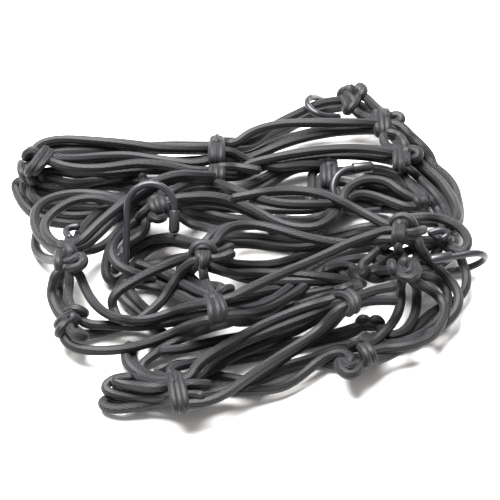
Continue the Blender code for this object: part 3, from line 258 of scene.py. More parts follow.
OVER = [
    ("right_loop", "curl", 9, [(79.8, -3), (79.6, -12), (78.2, -21), (74.2, -30.5), (68.6, -38.5),
        (63.5, -44.5)]),
    ("right", (93, -37.5, 4), 12, [(90, 31), (91.3, 25), (94.5, 17.5), (99.3, 9.7), (104.3, 2.5),
        (108, -5), (109.3, -12), (108, -20), (103.8, -27.5), (98.5, -33.5)]),
    ("right_loop", "curl", 8, [(90, -2.5), (98, -10), (101.5, -18.5), (100.5, -27), (96, -36.5),
        (88, -43.5), (78, -46.8), (68, -48.3)]),
    ("peak_right", "right_end", 10, [(85, 120.5), (90.8, 112), (96.7, 103.3), (100.7, 95), (102.2, 87),
        (107.3, 80.5), (111.7, 72), (113.4, 61.5), (113.7, 50), (111, 39)]),
    ("shoulder", "right_end", 14, [(93, 92), (98.5, 84), (104.7, 75.5), (109, 66), (112, 57),
        (112.5, 47)]),
    ((55, 61.5, 18.5), "far_mesh", 13, [(57.5, 63.8), (62.5, 65), (69, 63.3), (78, 58.8), (87, 54.5)]),
    ((51.5, 59.5, 18.5), "far_mesh", 17, [(52.7, 65.5), (56.5, 71), (62, 75), (69.5, 76.3), (77, 73.5),
        (82.5, 67.5)]),
    ("right", "right_end", 20, [(84, 45.5), (91, 47), (99, 47), (106.5, 44.7), (112.3, 40), (116, 34),
        (116.7, 27), (112.5, 21)]),
    ("peak", "peak_right", 16, [(65.5, 145.2), (69.4, 140.2), (73, 134.7)]),
    ("peak", "rear_mid", 16, [(51, 141), (44, 139.7), (37, 136), (30, 131), (21, 124.5), (12, 117),
        (3, 108)]),
    ("peak_right", "rear_mid", 17, [(70, 116.3), (55, 115.4), (42, 113.1), (30, 109.2), (20, 104.5),
        (10, 98.5), (0, 92.8)]),
    ("peak_right", "rear_mid", 24, [(70, 122), (52, 122.4), (34, 122.4), (20, 121.3), (9, 118),
        (0.5, 112.5), (-6, 105.5)]),
    ("rear_mid", "shade", 12, [(-9, 99), (-2, 93.5), (7, 88.5), (18, 86.5), (30, 88)]),
    ("shoulder", "rear_mid_low", 20, [(79, 98.5), (68, 100.7), (55, 101.3), (42, 100.2), (28, 97.3),
        (14, 93.3), (2, 88.5), (-6, 82)]),
    ("rear_left", "rear_mid", 8, [(-104, 90.5), (-92, 90.5), (-78, 91.5), (-64, 92.3), (-50, 90.5)]),
    ("rear_mid_low", (6, 84, 6), 6, [(-10, 86.5), (-3, 86)]),
    ("rear_left", "rear_mid", 15, [(-104, 95.5), (-92, 94.5), (-78, 97), (-62, 99.2), (-48, 100.2),
        (-34, 99.8)]),
    ("rear_left", "rear_mid", 18, [(-104, 97.3), (-92, 98.6), (-80, 99), (-66, 100.5), (-54, 102.8),
        (-42, 103.8), (-30, 103.6)]),
    ("rear_left", "rear_mid", 17, [(-111, 102), (-103, 105), (-91, 105.7), (-76, 104.5), (-62, 103),
        (-48, 101), (-32, 100.6)]),
    ("rear_left", "rear_mid", 22, [(-114.3, 103.3), (-108, 107.3), (-100, 108.6), (-91, 108.2), (-76, 106.7),
        (-62, 104.7), (-48, 102), (-32, 101.6)]),
    ("rear_left", "rear_mid", 20, [(-104, 93.5), (-92, 93.2), (-78, 95), (-64, 95.5), (-52, 93.3),
        (-40, 91), (-28, 89.5)]),
    ("rear_left", "rear_mid_low", 22, [(-107, 91), (-99, 87), (-90, 85.3), (-80, 85.4), (-70, 87.2),
        (-60, 89.2), (-50, 88.8), (-40, 87), (-28, 83.5)]),
    ("left", "hook_knot", 10, [(-89.7, 28), (-88, 35), (-84.5, 42), (-80.5, 48.5), (-74, 54), (-65, 57)]),
    ("left", (-110, 40, 4), 1, [(-99, 14.8), (-104.5, 16), (-108.6, 19.5), (-110.6, 25), (-110.7, 32)]),
    ("left", "hook_knot", 14, [(-100, 22), (-105.5, 28), (-110.3, 36), (-112.6, 45), (-111.5, 54),
        (-107, 60), (-99, 64), (-88, 65.5), (-76, 64), (-62, 60)]),
    ("left", "hook_knot", 19, [(-99, 26.5), (-104.5, 32.5), (-106.8, 40), (-104.8, 47), (-99.8, 54),
        (-93, 59.5), (-85, 62), (-77, 61.5), (-69, 58.8), (-60, 57)]),
    ("left", "front_left", 10, [(-98.5, 5), (-100, -3), (-100, -11), (-97.8, -19), (-94, -26)]),
    ("left", "front_left", 14, [(-92, 5), (-91.3, -4), (-91.5, -12), (-89.5, -19)]),
    ("hook_knot", (-49, 1, 10), 18.5, [(-59, 44), (-65.5, 35), (-69.7, 27), (-70.3, 20), (-68, 13.5),
        (-63.5, 8.7), (-57, 5)]),
    ("crown", (-65.5, -26, 4), 22, [(-28, 18.5), (-35, 15), (-43, 10.3), (-51, 5), (-58.5, -1),
        (-66, -8), (-68.9, -14), (-67.8, -20)]),
    ("crown", (-55, -29, 4), 15, [(-27.5, 14), (-32, 9), (-35.5, 3), (-38.3, -4), (-41.3, -11),
        (-45.5, -18), (-50.5, -24)]),
    ((-56.5, -46.5, 3), "front", 4, [(-57, -52), (-56.3, -57), (-54, -61.5), (-50, -65)]),
    ((-59, -46, 3), "front", 7, [(-60.4, -50.5), (-60, -56), (-57.5, -61), (-53, -65.5), (-46, -69)]),
    ("left", "middle", 12, [(-87.3, 6), (-83.8, -3.5), (-79.8, -12.5), (-74.5, -20.5), (-67, -26.2),
        (-58, -28.5), (-49, -27.7), (-40, -23.7), (-30, -19)]),
    ("front_left", "middle", 9, [(-92.5, -38.5), (-90.5, -43.5), (-86, -47.3), (-77, -49.2), (-67, -49),
        (-58, -47.3), (-49, -43.8), (-40, -39), (-29, -32)]),
    ("hook_knot", (-62.5, 27, 18), 16, [(-53.3, 46), (-52.8, 40), (-55.5, 34), (-59.3, 30)]),
    ("front", "front", 4, [(-46, -83), (-57, -83.3), (-66, -81.3), (-70.8, -83), (-70.2, -86.3),
        (-64, -88.3), (-55, -87), (-45, -84.8)]),
    ("front", (-64, -74, 3), 3, [(-45, -77.5), (-55, -76.8)]),
    ("front", "front", 7, [(-44, -80.5), (-55, -80.5), (-64, -78.7), (-69.8, -75.7), (-68.7, -71),
        (-63.5, -67.8), (-55, -68), (-45, -70)]),
    ("front", (-58, -67, 8), 11, [(-44, -73.8), (-54, -73.2), (-62, -71.3), (-66, -69)]),
    ("front_right", (-42, -49.5, 8), 12, [(33, -21.5), (21, -27.5), (9, -34), (-1, -39), (-14, -42.3),
        (-24, -45.5), (-33, -48.3)]),
    ("front_right", "front", 8, [(43, -22), (35, -28.5), (26, -35), (16, -40.5), (5, -47), (-6, -53),
        (-17, -62)]),
    ("front_right", "front", 9, [(50, -22), (44.8, -29.5), (38, -37), (29.5, -45), (20, -53), (10, -62),
        (0, -70.5), (-12, -77)]),
    ("front_right", "front", 17, [(43, -18.5), (32, -25), (20, -31.5), (8, -38), (-3, -44.5), (-12, -51),
        (-18.5, -58), (-23.5, -67)]),
    ("front_right", "front", 20, [(44, -13.5), (34, -17.5), (22, -23.5), (11, -30), (1, -37),
        (-9, -44.5), (-18, -52), (-25, -60), (-28.5, -68)]),
    ("front_right", "front", 17, [(48, -20), (41.5, -29), (34.5, -37.5), (26.5, -45), (17, -53),
        (7, -62), (-3, -71.5), (-12, -79.5), (-20.5, -84), (-28, -85)]),
    ("front_right", (76, -14.3, 22), 24, [(61, -15), (68, -14.3)]),
    ("front_right", (76, -4.5, 24), 26, [(60, -10), (68, -6.5)]),
    ("hook_knot", (45.5, 51, 12), 22, [(-40, 57.5), (-31, 58.3), (-20, 59), (-10, 57), (-1, 52.5), (8, 47),
        (18, 43.5), (29, 42.5), (38, 44)]),
    ("hook_knot", (50.5, 58, 18), 28, [(-38, 61.5), (-29, 63), (-19, 63.3), (-10, 61), (-2, 57), (6, 51.5),
        (13, 45.7), (21, 41), (29, 39), (37, 39.7), (43.5, 44.5), (48, 51)]),
    ("hook_knot", (51, 58.5, 24), 32, [(-41, 66), (-35, 71), (-28, 74.3), (-20, 74.8), (-12, 72),
        (-4, 67.2), (4, 62.8), (12, 59.3), (21, 57.3), (31, 56.9), (42, 57.2)]),
    ("right", (-6, 62, 22), 28, [(76, 40.3), (69, 45.3), (61, 51.5), (53, 57.5), (45, 63), (37, 66.2),
        (27, 67.6), (17, 67.3), (7, 65.7)]),
    ("left", "rear_mid_low", 28, [(-85.5, 25), (-80, 31.5), (-75, 39), (-70, 47), (-65, 54.5),
        (-59.5, 61), (-53, 67.5), (-46, 73), (-37, 76.5), (-27, 77.5)]),
    ("left", "rear_mid_low", 30, [(-87.5, 28), (-83, 34.5), (-77.8, 42.5), (-71.8, 50.5), (-65.5, 58.3),
        (-58.5, 65.5), (-51.5, 72.5), (-43.5, 78), (-34, 80.6), (-25, 80)]),
    ("crown", (4, 41, 26), 30, [(-19.5, 31), (-15, 36.5), (-8, 40)]),
    ("crown", "right", 30, [(-16.5, 27), (-14, 33.5), (-9, 39), (-2, 41.3), (6, 41), (14, 38.7),
        (22, 35.7), (30, 32.5), (38, 30), (47, 28), (56, 27), (67, 29.5)]),
    ("middle", "right", 34, [(-8, -12.5), (1, -6.3), (11, 0.3), (21, 6.5), (32, 13), (43, 20),
        (54, 27.3), (65, 33), (74, 36.8)]),
    ("crown", (-8.5, 24.5, 33), 35, [(-15, 20.5)]),
    ("front", (-19.5, -72, 14), 15, [(-27, -71.7)]),
    ("front", (-22.5, -79.5, 11), 12, [(-27, -79)]),
    ("right", (93.5, 37.5, 32), 35, [(87.5, 35)]),
    ("right", "right_loop", 32, [(79.5, 25), (80.8, 20), (82.5, 15.5)]),
    ("crown", (-8, 19.5, 30), 31, [(-14.5, 16)]),
]
# a J-shaped hook: foot and top of its shank, a spot on the side of its tip, length of its tip
HOOKS = {
    "top":   ((-62.6, 11.5, 13.4), (-63.5, 55, 36.2), (-39, 54, 36.2), 10.5),
    "rear":  ((71, 52.8, 8.5), (60.5, 51.3, 9.8), (60.5, 85.3, 20.8), 10.5),
    "right": ((94.7, 3.8, 4.4), (110, 7.5, 4.4), (109.7, 19.3, 29.1), 17.5),
}
HOOK_ARCH = 12.2                # radius of the wire's middle in the arch
# the wire eyes of buried hooks: the spots their wire runs through
EYES = {
    "peak": ((43, 140.8, 10.5), (40.3, 143, 13), (37, 144.2, 18.6), (34.3, 141.2, 21.3), (34.6, 136.8, 22.4),
             (36.7, 132.8, 21.9), (39.8, 129.8, 21.5), (44, 128, 19.5), (51, 127.6, 15.5)),
    "left": ((-93, 32, 25.4), (-95.3, 36, 23.5), (-93.5, 39.3, 23), (-89.5, 40, 23)),
    "right_end": ((97.5, 35.3, 23.7), (100.3, 36.6, 24.4), (103, 37.2, 24.6), (105.6, 36, 23.8),
                  (106.2, 33, 22.8), (104, 31.3, 22.3)),
}

# turns of cord that show on the knots: knot, how far the turn stands out, radius, (x, back) across the front
TURNS = [
    ("rear_left", 3.2, 2.5, [(-121, 94.5), (-119, 99), (-114.5, 99), (-113.5, 94)]),
    ("rear_left", 4.4, 2.4, [(-109.5, 101.5), (-112.5, 95), (-115.5, 88), (-118.5, 81)]),
    ("rear_left", 3.8, 2.3, [(-106.5, 99), (-108.5, 93), (-112, 87), (-115, 81.5)]),
    ("rear_left_low", 4.0, 2.3, [(-122.5, 90), (-122, 83), (-119, 76)]),
    ("rear_left_low", 4.4, 2.3, [(-118.5, 89), (-118, 81), (-115, 74)]),
    ("rear_left_low", 3.6, 2.3, [(-113.5, 88), (-112, 82), (-110, 77)]),
    ("rear_mid", 3.2, 2.0, [(-18.5, 90), (-18.8, 100), (-18, 110)]),
    ("rear_mid", 3.5, 2.0, [(-16, 90), (-16, 100), (-16, 111.5)]),
    ("rear_mid", 3.2, 2.0, [(-13.6, 90), (-13.2, 100), (-14, 110)]),
    ("rear_mid_low", 3.2, 2.0, [(-18.7, 75), (-18.7, 82), (-18.3, 88)]),
    ("rear_mid_low", 3.5, 2.0, [(-16, 74.5), (-16, 82), (-16, 88.5)]),
    ("rear_mid_low", 3.2, 2.0, [(-13.4, 75), (-13.2, 82), (-13.6, 88)]),
    ("peak", 3.2, 2.5, [(52.8, 144.5), (54, 149.5), (58.3, 150.2), (60.3, 146)]),
    ("peak", 3.4, 2.5, [(63.5, 153.7), (66, 151.7), (65.7, 146.5), (62.5, 143)]),
    ("peak", 4.2, 2.2, [(54.3, 149), (60, 141), (59.5, 133)]),
    ("peak", 3.8, 2.2, [(63.5, 146), (60.5, 138), (56.5, 131)]),
    ("peak", 3.4, 2.2, [(54, 145), (56.3, 137), (56, 131)]),
    ("peak_right", 3.4, 2.0, [(72, 132), (72, 122), (73, 112)]),
    ("peak_right", 3.8, 2.0, [(75, 134), (75.3, 122), (75.5, 111)]),
    ("peak_right", 3.4, 2.0, [(78.3, 133), (78.4, 122), (78, 112)]),
    ("peak_right", 3.2, 2.6, [(79, 125.5), (82, 129), (86, 128), (86.3, 124), (82.5, 122)]),
    ("shoulder", 3.2, 2.0, [(82.3, 101), (82, 93), (81.5, 84)]),
    ("shoulder", 3.6, 2.0, [(85, 102), (85, 93), (84.5, 83)]),
    ("shoulder", 3.2, 2.0, [(87.8, 101), (88, 94), (87.5, 86)]),
    ("shoulder", 3.2, 2.5, [(88, 97), (90, 101), (94, 99.5), (95, 95), (91, 92.5)]),
    ("shade", 3.2, 2.0, [(42.3, 91), (42.1, 81), (42.3, 71)]),
    ("shade", 3.5, 2.0, [(45.1, 92), (45.1, 81), (45.1, 70.5)]),
    ("shade", 3.2, 2.0, [(48, 91), (48.1, 81), (48, 71)]),
    ("hook_knot", 3.8, 2.1, [(-51.3, 62), (-50, 55), (-47, 48.5)]),
    ("hook_knot", 4.4, 2.1, [(-48.7, 65), (-47.3, 57), (-44.8, 49)]),
    ("hook_knot", 3.8, 2.1, [(-45.7, 65), (-44.2, 58), (-42.6, 51)]),
    ("hook_knot", 3.4, 2.1, [(-57.5, 47), (-54.5, 51.5), (-50.5, 57)]),
    ("hook_knot", 3.0, 2.2, [(-51, 49), (-47.5, 45), (-43.3, 47)]),
    ("left", 4.0, 2.4, [(-98, 21), (-98.3, 14), (-97, 7.5)]),
    ("left", 4.4, 2.3, [(-98, 27.5), (-92.5, 24), (-88.5, 18)]),
    ("left", 4.0, 2.3, [(-94, 30), (-89.5, 26), (-86.5, 21)]),
    ("left", 3.6, 2.6, [(-96, 12.5), (-90.5, 14), (-86.7, 18.5), (-84.3, 14.5), (-87, 9.7), (-93, 8)]),
    ("front_left", 3.8, 2.6, [(-91.5, -22), (-87, -20), (-82, -23.5)]),
    ("front_left", 4.4, 2.4, [(-96, -32), (-92.7, -26.5), (-87, -22.5)]),
    ("front_left", 4.0, 2.5, [(-95, -38), (-93, -32), (-88.5, -27.5)]),
    ("front_left", 3.6, 2.5, [(-90.5, -31), (-88, -37), (-81, -40)]),
    ("crown", 4.2, 2.2, [(-28.3, 20), (-27, 25.5), (-22.5, 28), (-18, 25.5), (-16.7, 20)]),
    ("crown", 4.4, 1.9, [(-26, 21), (-25, 24), (-22.5, 25), (-20, 24), (-19, 21)]),
    ("crown", 4.6, 1.8, [(-25, 21.5), (-24.4, 16), (-24, 12.5)]),
    ("crown", 4.9, 1.8, [(-22.4, 22), (-22.5, 15), (-22.6, 9)]),
    ("crown", 4.6, 1.8, [(-20.1, 21.5), (-20.6, 16), (-20.9, 11)]),
    ("middle", 4.0, 2.0, [(-20, -10.5), (-18.5, -17), (-17.3, -24), (-17, -29.5)]),
    ("middle", 4.5, 2.0, [(-17.7, -9), (-15.2, -14.5), (-13.6, -22), (-14, -29)]),
    ("middle", 3.9, 2.0, [(-15.5, -9.5), (-12.6, -15), (-11, -22), (-11.5, -27)]),
    ("middle", 3.8, 2.3, [(-13.5, -10.5), (-12, -6.5), (-7.5, -5.5)]),
    ("front_right", 4.4, 2.1, [(46, -10), (51, -10.5), (54, -14.5), (54.6, -20), (52.5, -24)]),
    ("front_right", 4.2, 2.1, [(49.5, -6.5), (54.8, -9.5), (57.4, -15.5), (55.8, -22)]),
    ("front_right", 3.6, 2.1, [(47, -6.5), (51, -6), (54, -3.5)]),
    ("right", 4.2, 2.4, [(77.5, 42), (80, 47), (84.5, 48), (88, 44.5), (89.5, 39)]),
    ("right", 4.4, 2.0, [(79.8, 43), (79, 36), (78, 28)]),
    ("right", 4.6, 2.0, [(82.7, 42), (82, 35), (81.3, 28.5)]),
    ("right_loop", 4.0, 2.3, [(79.5, 9), (80.5, 3.5), (84.5, 1.3), (88.3, 4), (89, 9.5), (86.8, 14)]),
    ("right_loop", 4.4, 2.0, [(81.5, 8), (84.3, 5), (86.5, 8.5), (86.5, 14)]),
    ("right_loop", 3.6, 2.5, [(75.8, 13.5), (75.8, 9), (77.5, 4.5)]),
    ("front", 3.8, 1.9, [(-38, -65), (-37, -73), (-35.7, -82), (-34.3, -89.5)]),
    ("front", 4.2, 1.9, [(-35.3, -64), (-34.3, -72), (-32.6, -82), (-31.3, -90)]),
    ("front", 3.8, 1.9, [(-33.5, -64.5), (-31.7, -72), (-30.2, -80), (-29.3, -88)]),
    ("curl", 3.8, 2.3, [(53, -46), (55.5, -43), (59, -44.5)]),
    ("curl", 4.2, 2.1, [(56, -44.5), (60, -51), (61.5, -58)]),
    ("curl", 3.8, 2.1, [(59, -44), (62.8, -49.5), (64.5, -55.5)]),
    ("curl_end", 3.4, 2.5, [(46.5, -56.5), (47.2, -62.5), (51, -66), (55.5, -64), (57.5, -58.5)]),
    ("curl_end", 3.6, 2.4, [(48, -57), (51, -61), (55, -59)]),
    ("twin", 3.0, 2.7, [(57.5, -30.5), (59.5, -26.5), (62, -30)]),
    ("twin", 3.0, 2.7, [(63.5, -30.5), (66, -27), (68.7, -30.5)]),
    ("cross", 3.8, 2.0, [(54, 7), (57.5, 1.5), (61, -3)]),
    ("cross", 3.8, 2.0, [(64.5, 8), (61, 5), (58, 2)]),
    ("right_end", 3.4, 2.2, [(99.5, 33), (102.5, 28.5), (106, 27)]),
    ("right_end", 3.4, 2.2, [(101.5, 35.5), (104.5, 31), (108, 30)]),
    ("far_mesh", 3.4, 2.1, [(90.5, 64), (92, 60), (93, 55.5)]),
    ("far_mesh", 3.4, 2.1, [(94, 65), (95.5, 60.5), (97, 56)]),
]


# ---------------------------------------------------------------- curves

def lies(track):
    """World spots in mm of rows (x, back, up), each slid along its sight line to its height."""
    flat = track * [1, 1, 0]
    return flat + (VIEWER - flat) * track[:, 2:] / VIEWER[2]


def lengths(points):
    """Distance run along a line of points, from its start to each point."""
    steps = np.linalg.norm(np.diff(points, axis=0), axis=1)
    return np.concatenate([[0.0], np.cumsum(steps)])


def resample(points, measure, count):
    """count points evenly spaced in the given measure along a line."""
    at = np.linspace(0, measure[-1], count)
    return np.stack([np.interp(at, measure, column) for column in points.T], axis=1)


def smooth_through(spots, step):
    """A Catmull-Rom line through the spots with a point about every step mm."""
    spots = np.asarray(spots, dtype=float)
    wide = np.vstack([2 * spots[0] - spots[1], spots, 2 * spots[-1] - spots[-2]])
    gaps = np.maximum(np.linalg.norm(np.diff(wide[:, :2], axis=0), axis=1), 0.01) ** 0.5
    knot = np.concatenate([[0.0], np.cumsum(gaps)])[:, None]

    def blend(a, b, at_a, at_b, at):
        return ((at_b - at) * a + (at - at_a) * b) / (at_b - at_a)

    pieces = []
    for i in range(len(wide) - 3):
        p, k = wide[i:i + 4], knot[i:i + 4]
        at = np.linspace(k[1], k[2], 13)[:-1] if i < len(wide) - 4 else np.linspace(k[1], k[2], 13)
        a = [blend(p[j], p[j + 1], k[j], k[j + 1], at) for j in range(3)]
        b = [blend(a[j], a[j + 1], k[j], k[j + 2], at) for j in range(2)]
        pieces.append(blend(b[0], b[1], k[1], k[2], at))
    line = np.vstack(pieces)
    run = lengths(line[:, :2])
    return resample(line, run, max(3, int(np.ceil(run[-1] / step)) + 1))


def anchor(end, toward):
    """Where a cord enters a knot: the spot on the knot's long axis that lies nearest its way."""
    if not isinstance(end, str):
        return end
    x, back, up, lean, half_length, _ = KNOTS[end]
    axis = np.array([np.cos(np.radians(lean)), np.sin(np.radians(lean))])
    away = (np.array(toward[:2]) - [x, back]) * SQUASH
    along = np.clip(away @ axis, -0.6 * half_length, 0.6 * half_length)
    return (x + along * axis[0], back + along * axis[1] / SQUASH[1], up)


def track_of(cord, step=3.0):
    """Rows (x, back, up) along one cord of the tables."""
    start, end, up, way = cord
    spots = [anchor(start, way[0])] + [(x, back, up) for x, back in way] + [anchor(end, way[-1])]
    return smooth_through(spots, step)


def hook_wire(foot, top, beside, tip):
    """The middle line of a J-shaped hook in mm: shank, arch and tip in one plane."""
    foot, top, beside = lies(np.array([foot, top, beside], dtype=float))
    shank = np.linalg.norm(top - foot)
    along = (top - foot) / shank
    across = (beside - top) - ((beside - top) @ along) * along
    across /= np.linalg.norm(across)
    arch = np.radians(np.linspace(180, 0, 13))
    bend = HOOK_ARCH * np.stack([1 + np.cos(arch), np.sin(arch)], axis=1) + [0, shank]
    flat = np.vstack([[[0, 0]], bend, [[2 * HOOK_ARCH, shank - tip]]])
    return foot + flat[:, :1] * across + flat[:, 1:] * along


def eye_wire(spots):
    """The middle line in mm of a wire eye that runs through the spots."""
    return lies(smooth_through(spots, 3.0))


# ---------------------------------------------------------------- laying the cords

def settle(tracks, ends, wires, rounds=260):
    """Ease the cords apart up and down, so that each lies on those laid before it.

    Only heights change.  Every pair of points that are seen closer together than a
    cord's thickness must differ in height by at least what it takes to clear, except
    close to a knot that both cords share.  A cord stays on the side of a hook's wire
    that its height in the tables puts it.
    """
    counts = [len(track) for track in tracks]
    first = np.concatenate([[0], np.cumsum(counts)[:-1]])
    row = np.repeat(np.arange(len(tracks)), counts)
    points = np.vstack(tracks)
    seen = points[:, :2] * SQUASH
    told = points[:, 2]
    up = told.copy()
    run = np.concatenate([lengths(lies(track)) for track in tracks])
    full = np.repeat(run[first + np.array(counts) - 1], counts)
    names = np.array([[e if isinstance(e, str) else "" for e in pair] for pair in ends])[row]
    home = np.where(run < FREED, names[:, 0], np.where(full - run < FREED, names[:, 1], ""))
    to_start = np.where(names[:, 0] == "", 1.0, np.clip((run - HELD) / (FREED - HELD), 0, 1))
    to_end = np.where(names[:, 1] == "", 1.0, np.clip((full - run - HELD) / (FREED - HELD), 0, 1))
    loose = np.minimum(to_start, to_end)
    inner = (run > 0) & (run < full)
    middle = np.nonzero(inner)[0]

    apart = np.linalg.norm(seen[:, None] - seen[None], axis=2)
    clear = 2 * CORD + FREE
    above, below = np.nonzero(apart < clear)
    later = (row[above] > row[below]) | ((row[above] == row[below]) & (run[above] - run[below] > SELF_NEAR))
    at_home = (home[above] == home[below]) & (home[above] != "")
    above, below = above[later & ~at_home], below[later & ~at_home]
    need = np.sqrt(clear ** 2 - apart[above, below] ** 2) * SLOPE

    metal = np.vstack(wires)
    metal_seen, metal_up = metal[:, :2] * SQUASH, metal[:, 2]
    from_metal = np.linalg.norm(seen[:, None] - metal_seen[None], axis=2)
    reach = CORD + metal[None, :, 3] + AT_WIRE
    cord_at, metal_at = np.nonzero(from_metal < reach)
    room = np.sqrt(np.maximum(reach[0, metal_at] ** 2 - from_metal[cord_at, metal_at] ** 2, 0)) * SLOPE
    side = np.sign(up[cord_at] - metal_up[metal_at] + 0.01)

    for _ in range(rounds):
        lack = need - (up[above] - up[below])
        short = lack > 0
        a, b, lack = above[short], below[short], lack[short]
        give = loose[b] * np.clip((up[b] - PRESSED) / 2, 0, 1)
        share = loose[a] / (loose[a] + give + 1e-6)
        rise, sink = np.zeros(len(up)), np.zeros(len(up))
        np.maximum.at(rise, a, TAKEN_UP * lack * share)
        np.maximum.at(sink, b, TAKEN_UP * lack * (1 - share) * (give > 0))
        up = up + rise - sink
        sag = np.zeros(len(up))
        sag[middle] = 0.5 * (up[middle - 1] + up[middle + 1]) - up[middle]
        up = np.maximum(up + (EVENING * sag + SINKING * (told - up)) * loose, PRESSED)
        short = room - side * (up[cord_at] - metal_up[metal_at])
        push = np.where(short > 0, side * short, 0)
        lift, drop = np.zeros(len(up)), np.zeros(len(up))
        np.maximum.at(lift, cord_at, push)
        np.minimum.at(drop, cord_at, push)
        up = np.maximum(up + lift + drop, PRESSED)
    return [np.column_stack([points[s:s + n, :2], up[s:s + n]]) for s, n in zip(first, counts)]


def wire_track(line, cap):
    """Rows (x, back, up, radius) of a wire, as the viewer sees it, for laying cords about it."""
    total = lengths(line)[-1]
    line = resample(line, lengths(line), int(total / 1.5))
    up = line[:, 2:]
    flat = (line[:, :2] - VIEWER[:2] * up / VIEWER[2]) / (1 - up / VIEWER[2])
    radius = np.where(lengths(line) < total - cap, WIRE, SLEEVE)
    return np.column_stack([flat, up, radius])


def ring_frames(heading, closed):
    """Directions across a line, carried along it without twist; on a ring what is left over
    at the seam is turned back evenly along the way round.
    """
    side = np.cross(heading[0], [0.3, 0.5, 0.8])
    across = []
    for direction in heading:
        side = side - (side @ direction) * direction
        side = side / np.linalg.norm(side)
        across.append(side)
    across = np.array(across)
    over = np.cross(across, heading)
    if closed:
        back = across[-1] - (across[-1] @ heading[0]) * heading[0]
        left_over = np.arctan2(back @ over[0], back @ across[0])
        turn = -left_over * np.arange(len(heading))[:, None] / len(heading)
        across, over = (np.cos(turn) * across + np.sin(turn) * over,
                        np.cos(turn) * over - np.sin(turn) * across)
    return across, over


# ---------------------------------------------------------------- surfaces

def swept(line, radius, sides, closed=False, start=0.0):
    """A round tube along a line in mm: corner(i, j) = line(i) + r(i) (cos a(j) across(i) + sin a(j) over(i)).

    Gives corners, quads, end caps and a pair (part of the way round, mm along) for every
    corner of every quad.
    """
    heading = np.gradient(line, axis=0)
    if closed:
        heading = np.roll(line, -1, axis=0) - np.roll(line, 1, axis=0)
    heading /= np.linalg.norm(heading, axis=1)[:, None]
    across, over = ring_frames(heading, closed)
    around = 2 * np.pi * np.arange(sides) / sides
    spread = np.cos(around)[:, None] * across[:, None] + np.sin(around)[:, None] * over[:, None]
    corners = line[:, None] + np.broadcast_to(radius, len(line))[:, None, None] * spread
    at = np.arange(len(line) * sides).reshape(len(line), sides)
    caps = [] if closed else [at[0, ::-1], at[-1]]
    rows = np.vstack([at, at[:1]]) if closed else at
    next_round = np.roll(rows, -1, axis=1)
    quads = np.stack([rows[:-1], next_round[:-1], next_round[1:], rows[1:]], axis=-1).reshape(-1, 4)
    run = start + lengths(np.vstack([line, line[:1]]) if closed else line)
    left = np.arange(sides) / sides
    u = np.stack([left, left + 1 / sides, left + 1 / sides, left], axis=-1)
    u = np.broadcast_to(u, (len(rows) - 1, sides, 4))
    v = np.stack([run[:-1], run[:-1], run[1:], run[1:]], axis=-1)[:, None]
    v = np.broadcast_to(v, u.shape)
    return corners.reshape(-1, 3), quads, caps, np.stack([u, v], axis=-1).reshape(-1, 2)


def rounded(line, radius, first=True, last=True):
    """The line and its radii with a dome at each end asked for: r cos t at r sin t past the end."""
    turn = np.linspace(0, DOME_REACH * np.pi, 6)[1:]
    radius = np.broadcast_to(radius, len(line)).astype(float)
    before, after = line[0] - line[1], line[-1] - line[-2]
    before /= np.linalg.norm(before)
    after /= np.linalg.norm(after)
    if first:
        line = np.vstack([(line[0] + radius[0] * np.sin(turn)[:, None] * before)[::-1], line])
        radius = np.concatenate([(radius[0] * np.cos(turn))[::-1], radius])
    if last:
        line = np.vstack([line, line[-1] + radius[-1] * np.sin(turn)[:, None] * after])
        radius = np.concatenate([radius, radius[-1] * np.cos(turn)])
    return line, radius


def piece(name, tubes, stuff, nodes):
    """One finished piece from tubes in mm, kept above the table, in place of the CAD nodes."""
    first = np.concatenate([[0], np.cumsum([len(tube[0]) for tube in tubes])])
    corners = np.vstack([tube[0] for tube in tubes])
    corners[:, 2] = np.maximum(corners[:, 2], 0)
    corners = (corners - MIDDLE) * MM
    faces = []
    coords = []
    sizes = []
    for at, (_, quads, caps, uv) in zip(first, tubes):
        faces.append((quads + at).ravel())
        sizes.append(np.full(len(quads), 4))
        coords.append(uv)
        for cap in caps:
            faces.append(cap + at)
            sizes.append([len(cap)])
            coords.append(np.zeros((len(cap), 2)))
    faces, sizes = np.concatenate(faces), np.concatenate(sizes)
    mesh = bpy.data.meshes.new(name)
    mesh.vertices.add(len(corners))
    mesh.vertices.foreach_set("co", corners.ravel())
    mesh.loops.add(len(faces))
    mesh.loops.foreach_set("vertex_index", faces)
    mesh.polygons.add(len(sizes))
    mesh.polygons.foreach_set("loop_start", np.concatenate([[0], np.cumsum(sizes)[:-1]]))
    mesh.polygons.foreach_set("use_smooth", np.ones(len(sizes), dtype=bool))
    mesh.update(calc_edges=True)
    layer = mesh.uv_layers.new(name="along")
    layer.data.foreach_set("uv", np.vstack(coords).ravel())
    mesh.materials.append(stuff)
    made = bpy.data.objects.new(name, mesh)
    bpy.context.scene.collection.objects.link(made)
    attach(made, "root")
    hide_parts(*nodes)


# ---------------------------------------------------------------- cords and knots

def fine(line, step, rounds=3):
    """The same line with a point about every step mm, its corners eased by averaging neighbours."""
    run = lengths(line)
    line = resample(line, run, int(run[-1] / step) + 4)
    for _ in range(rounds):
        line[1:-1] = 0.25 * line[:-2] + 0.5 * line[1:-1] + 0.25 * line[2:]
    return line


def laid_cords():
    """Rows (x, back, up) of all the cords of the tables, each lying on those before it."""
    hooks = [hook_wire(*spots) for spots in HOOKS.values()]
    eyes = [eye_wire(spots) for spots in EYES.values()]
    metal = [wire_track(line, CAP_LENGTH) for line in hooks] + [wire_track(line, -1) for line in eyes]
    cords = UNDER + OVER
    return settle([track_of(cord) for cord in cords], [cord[:2] for cord in cords], metal)


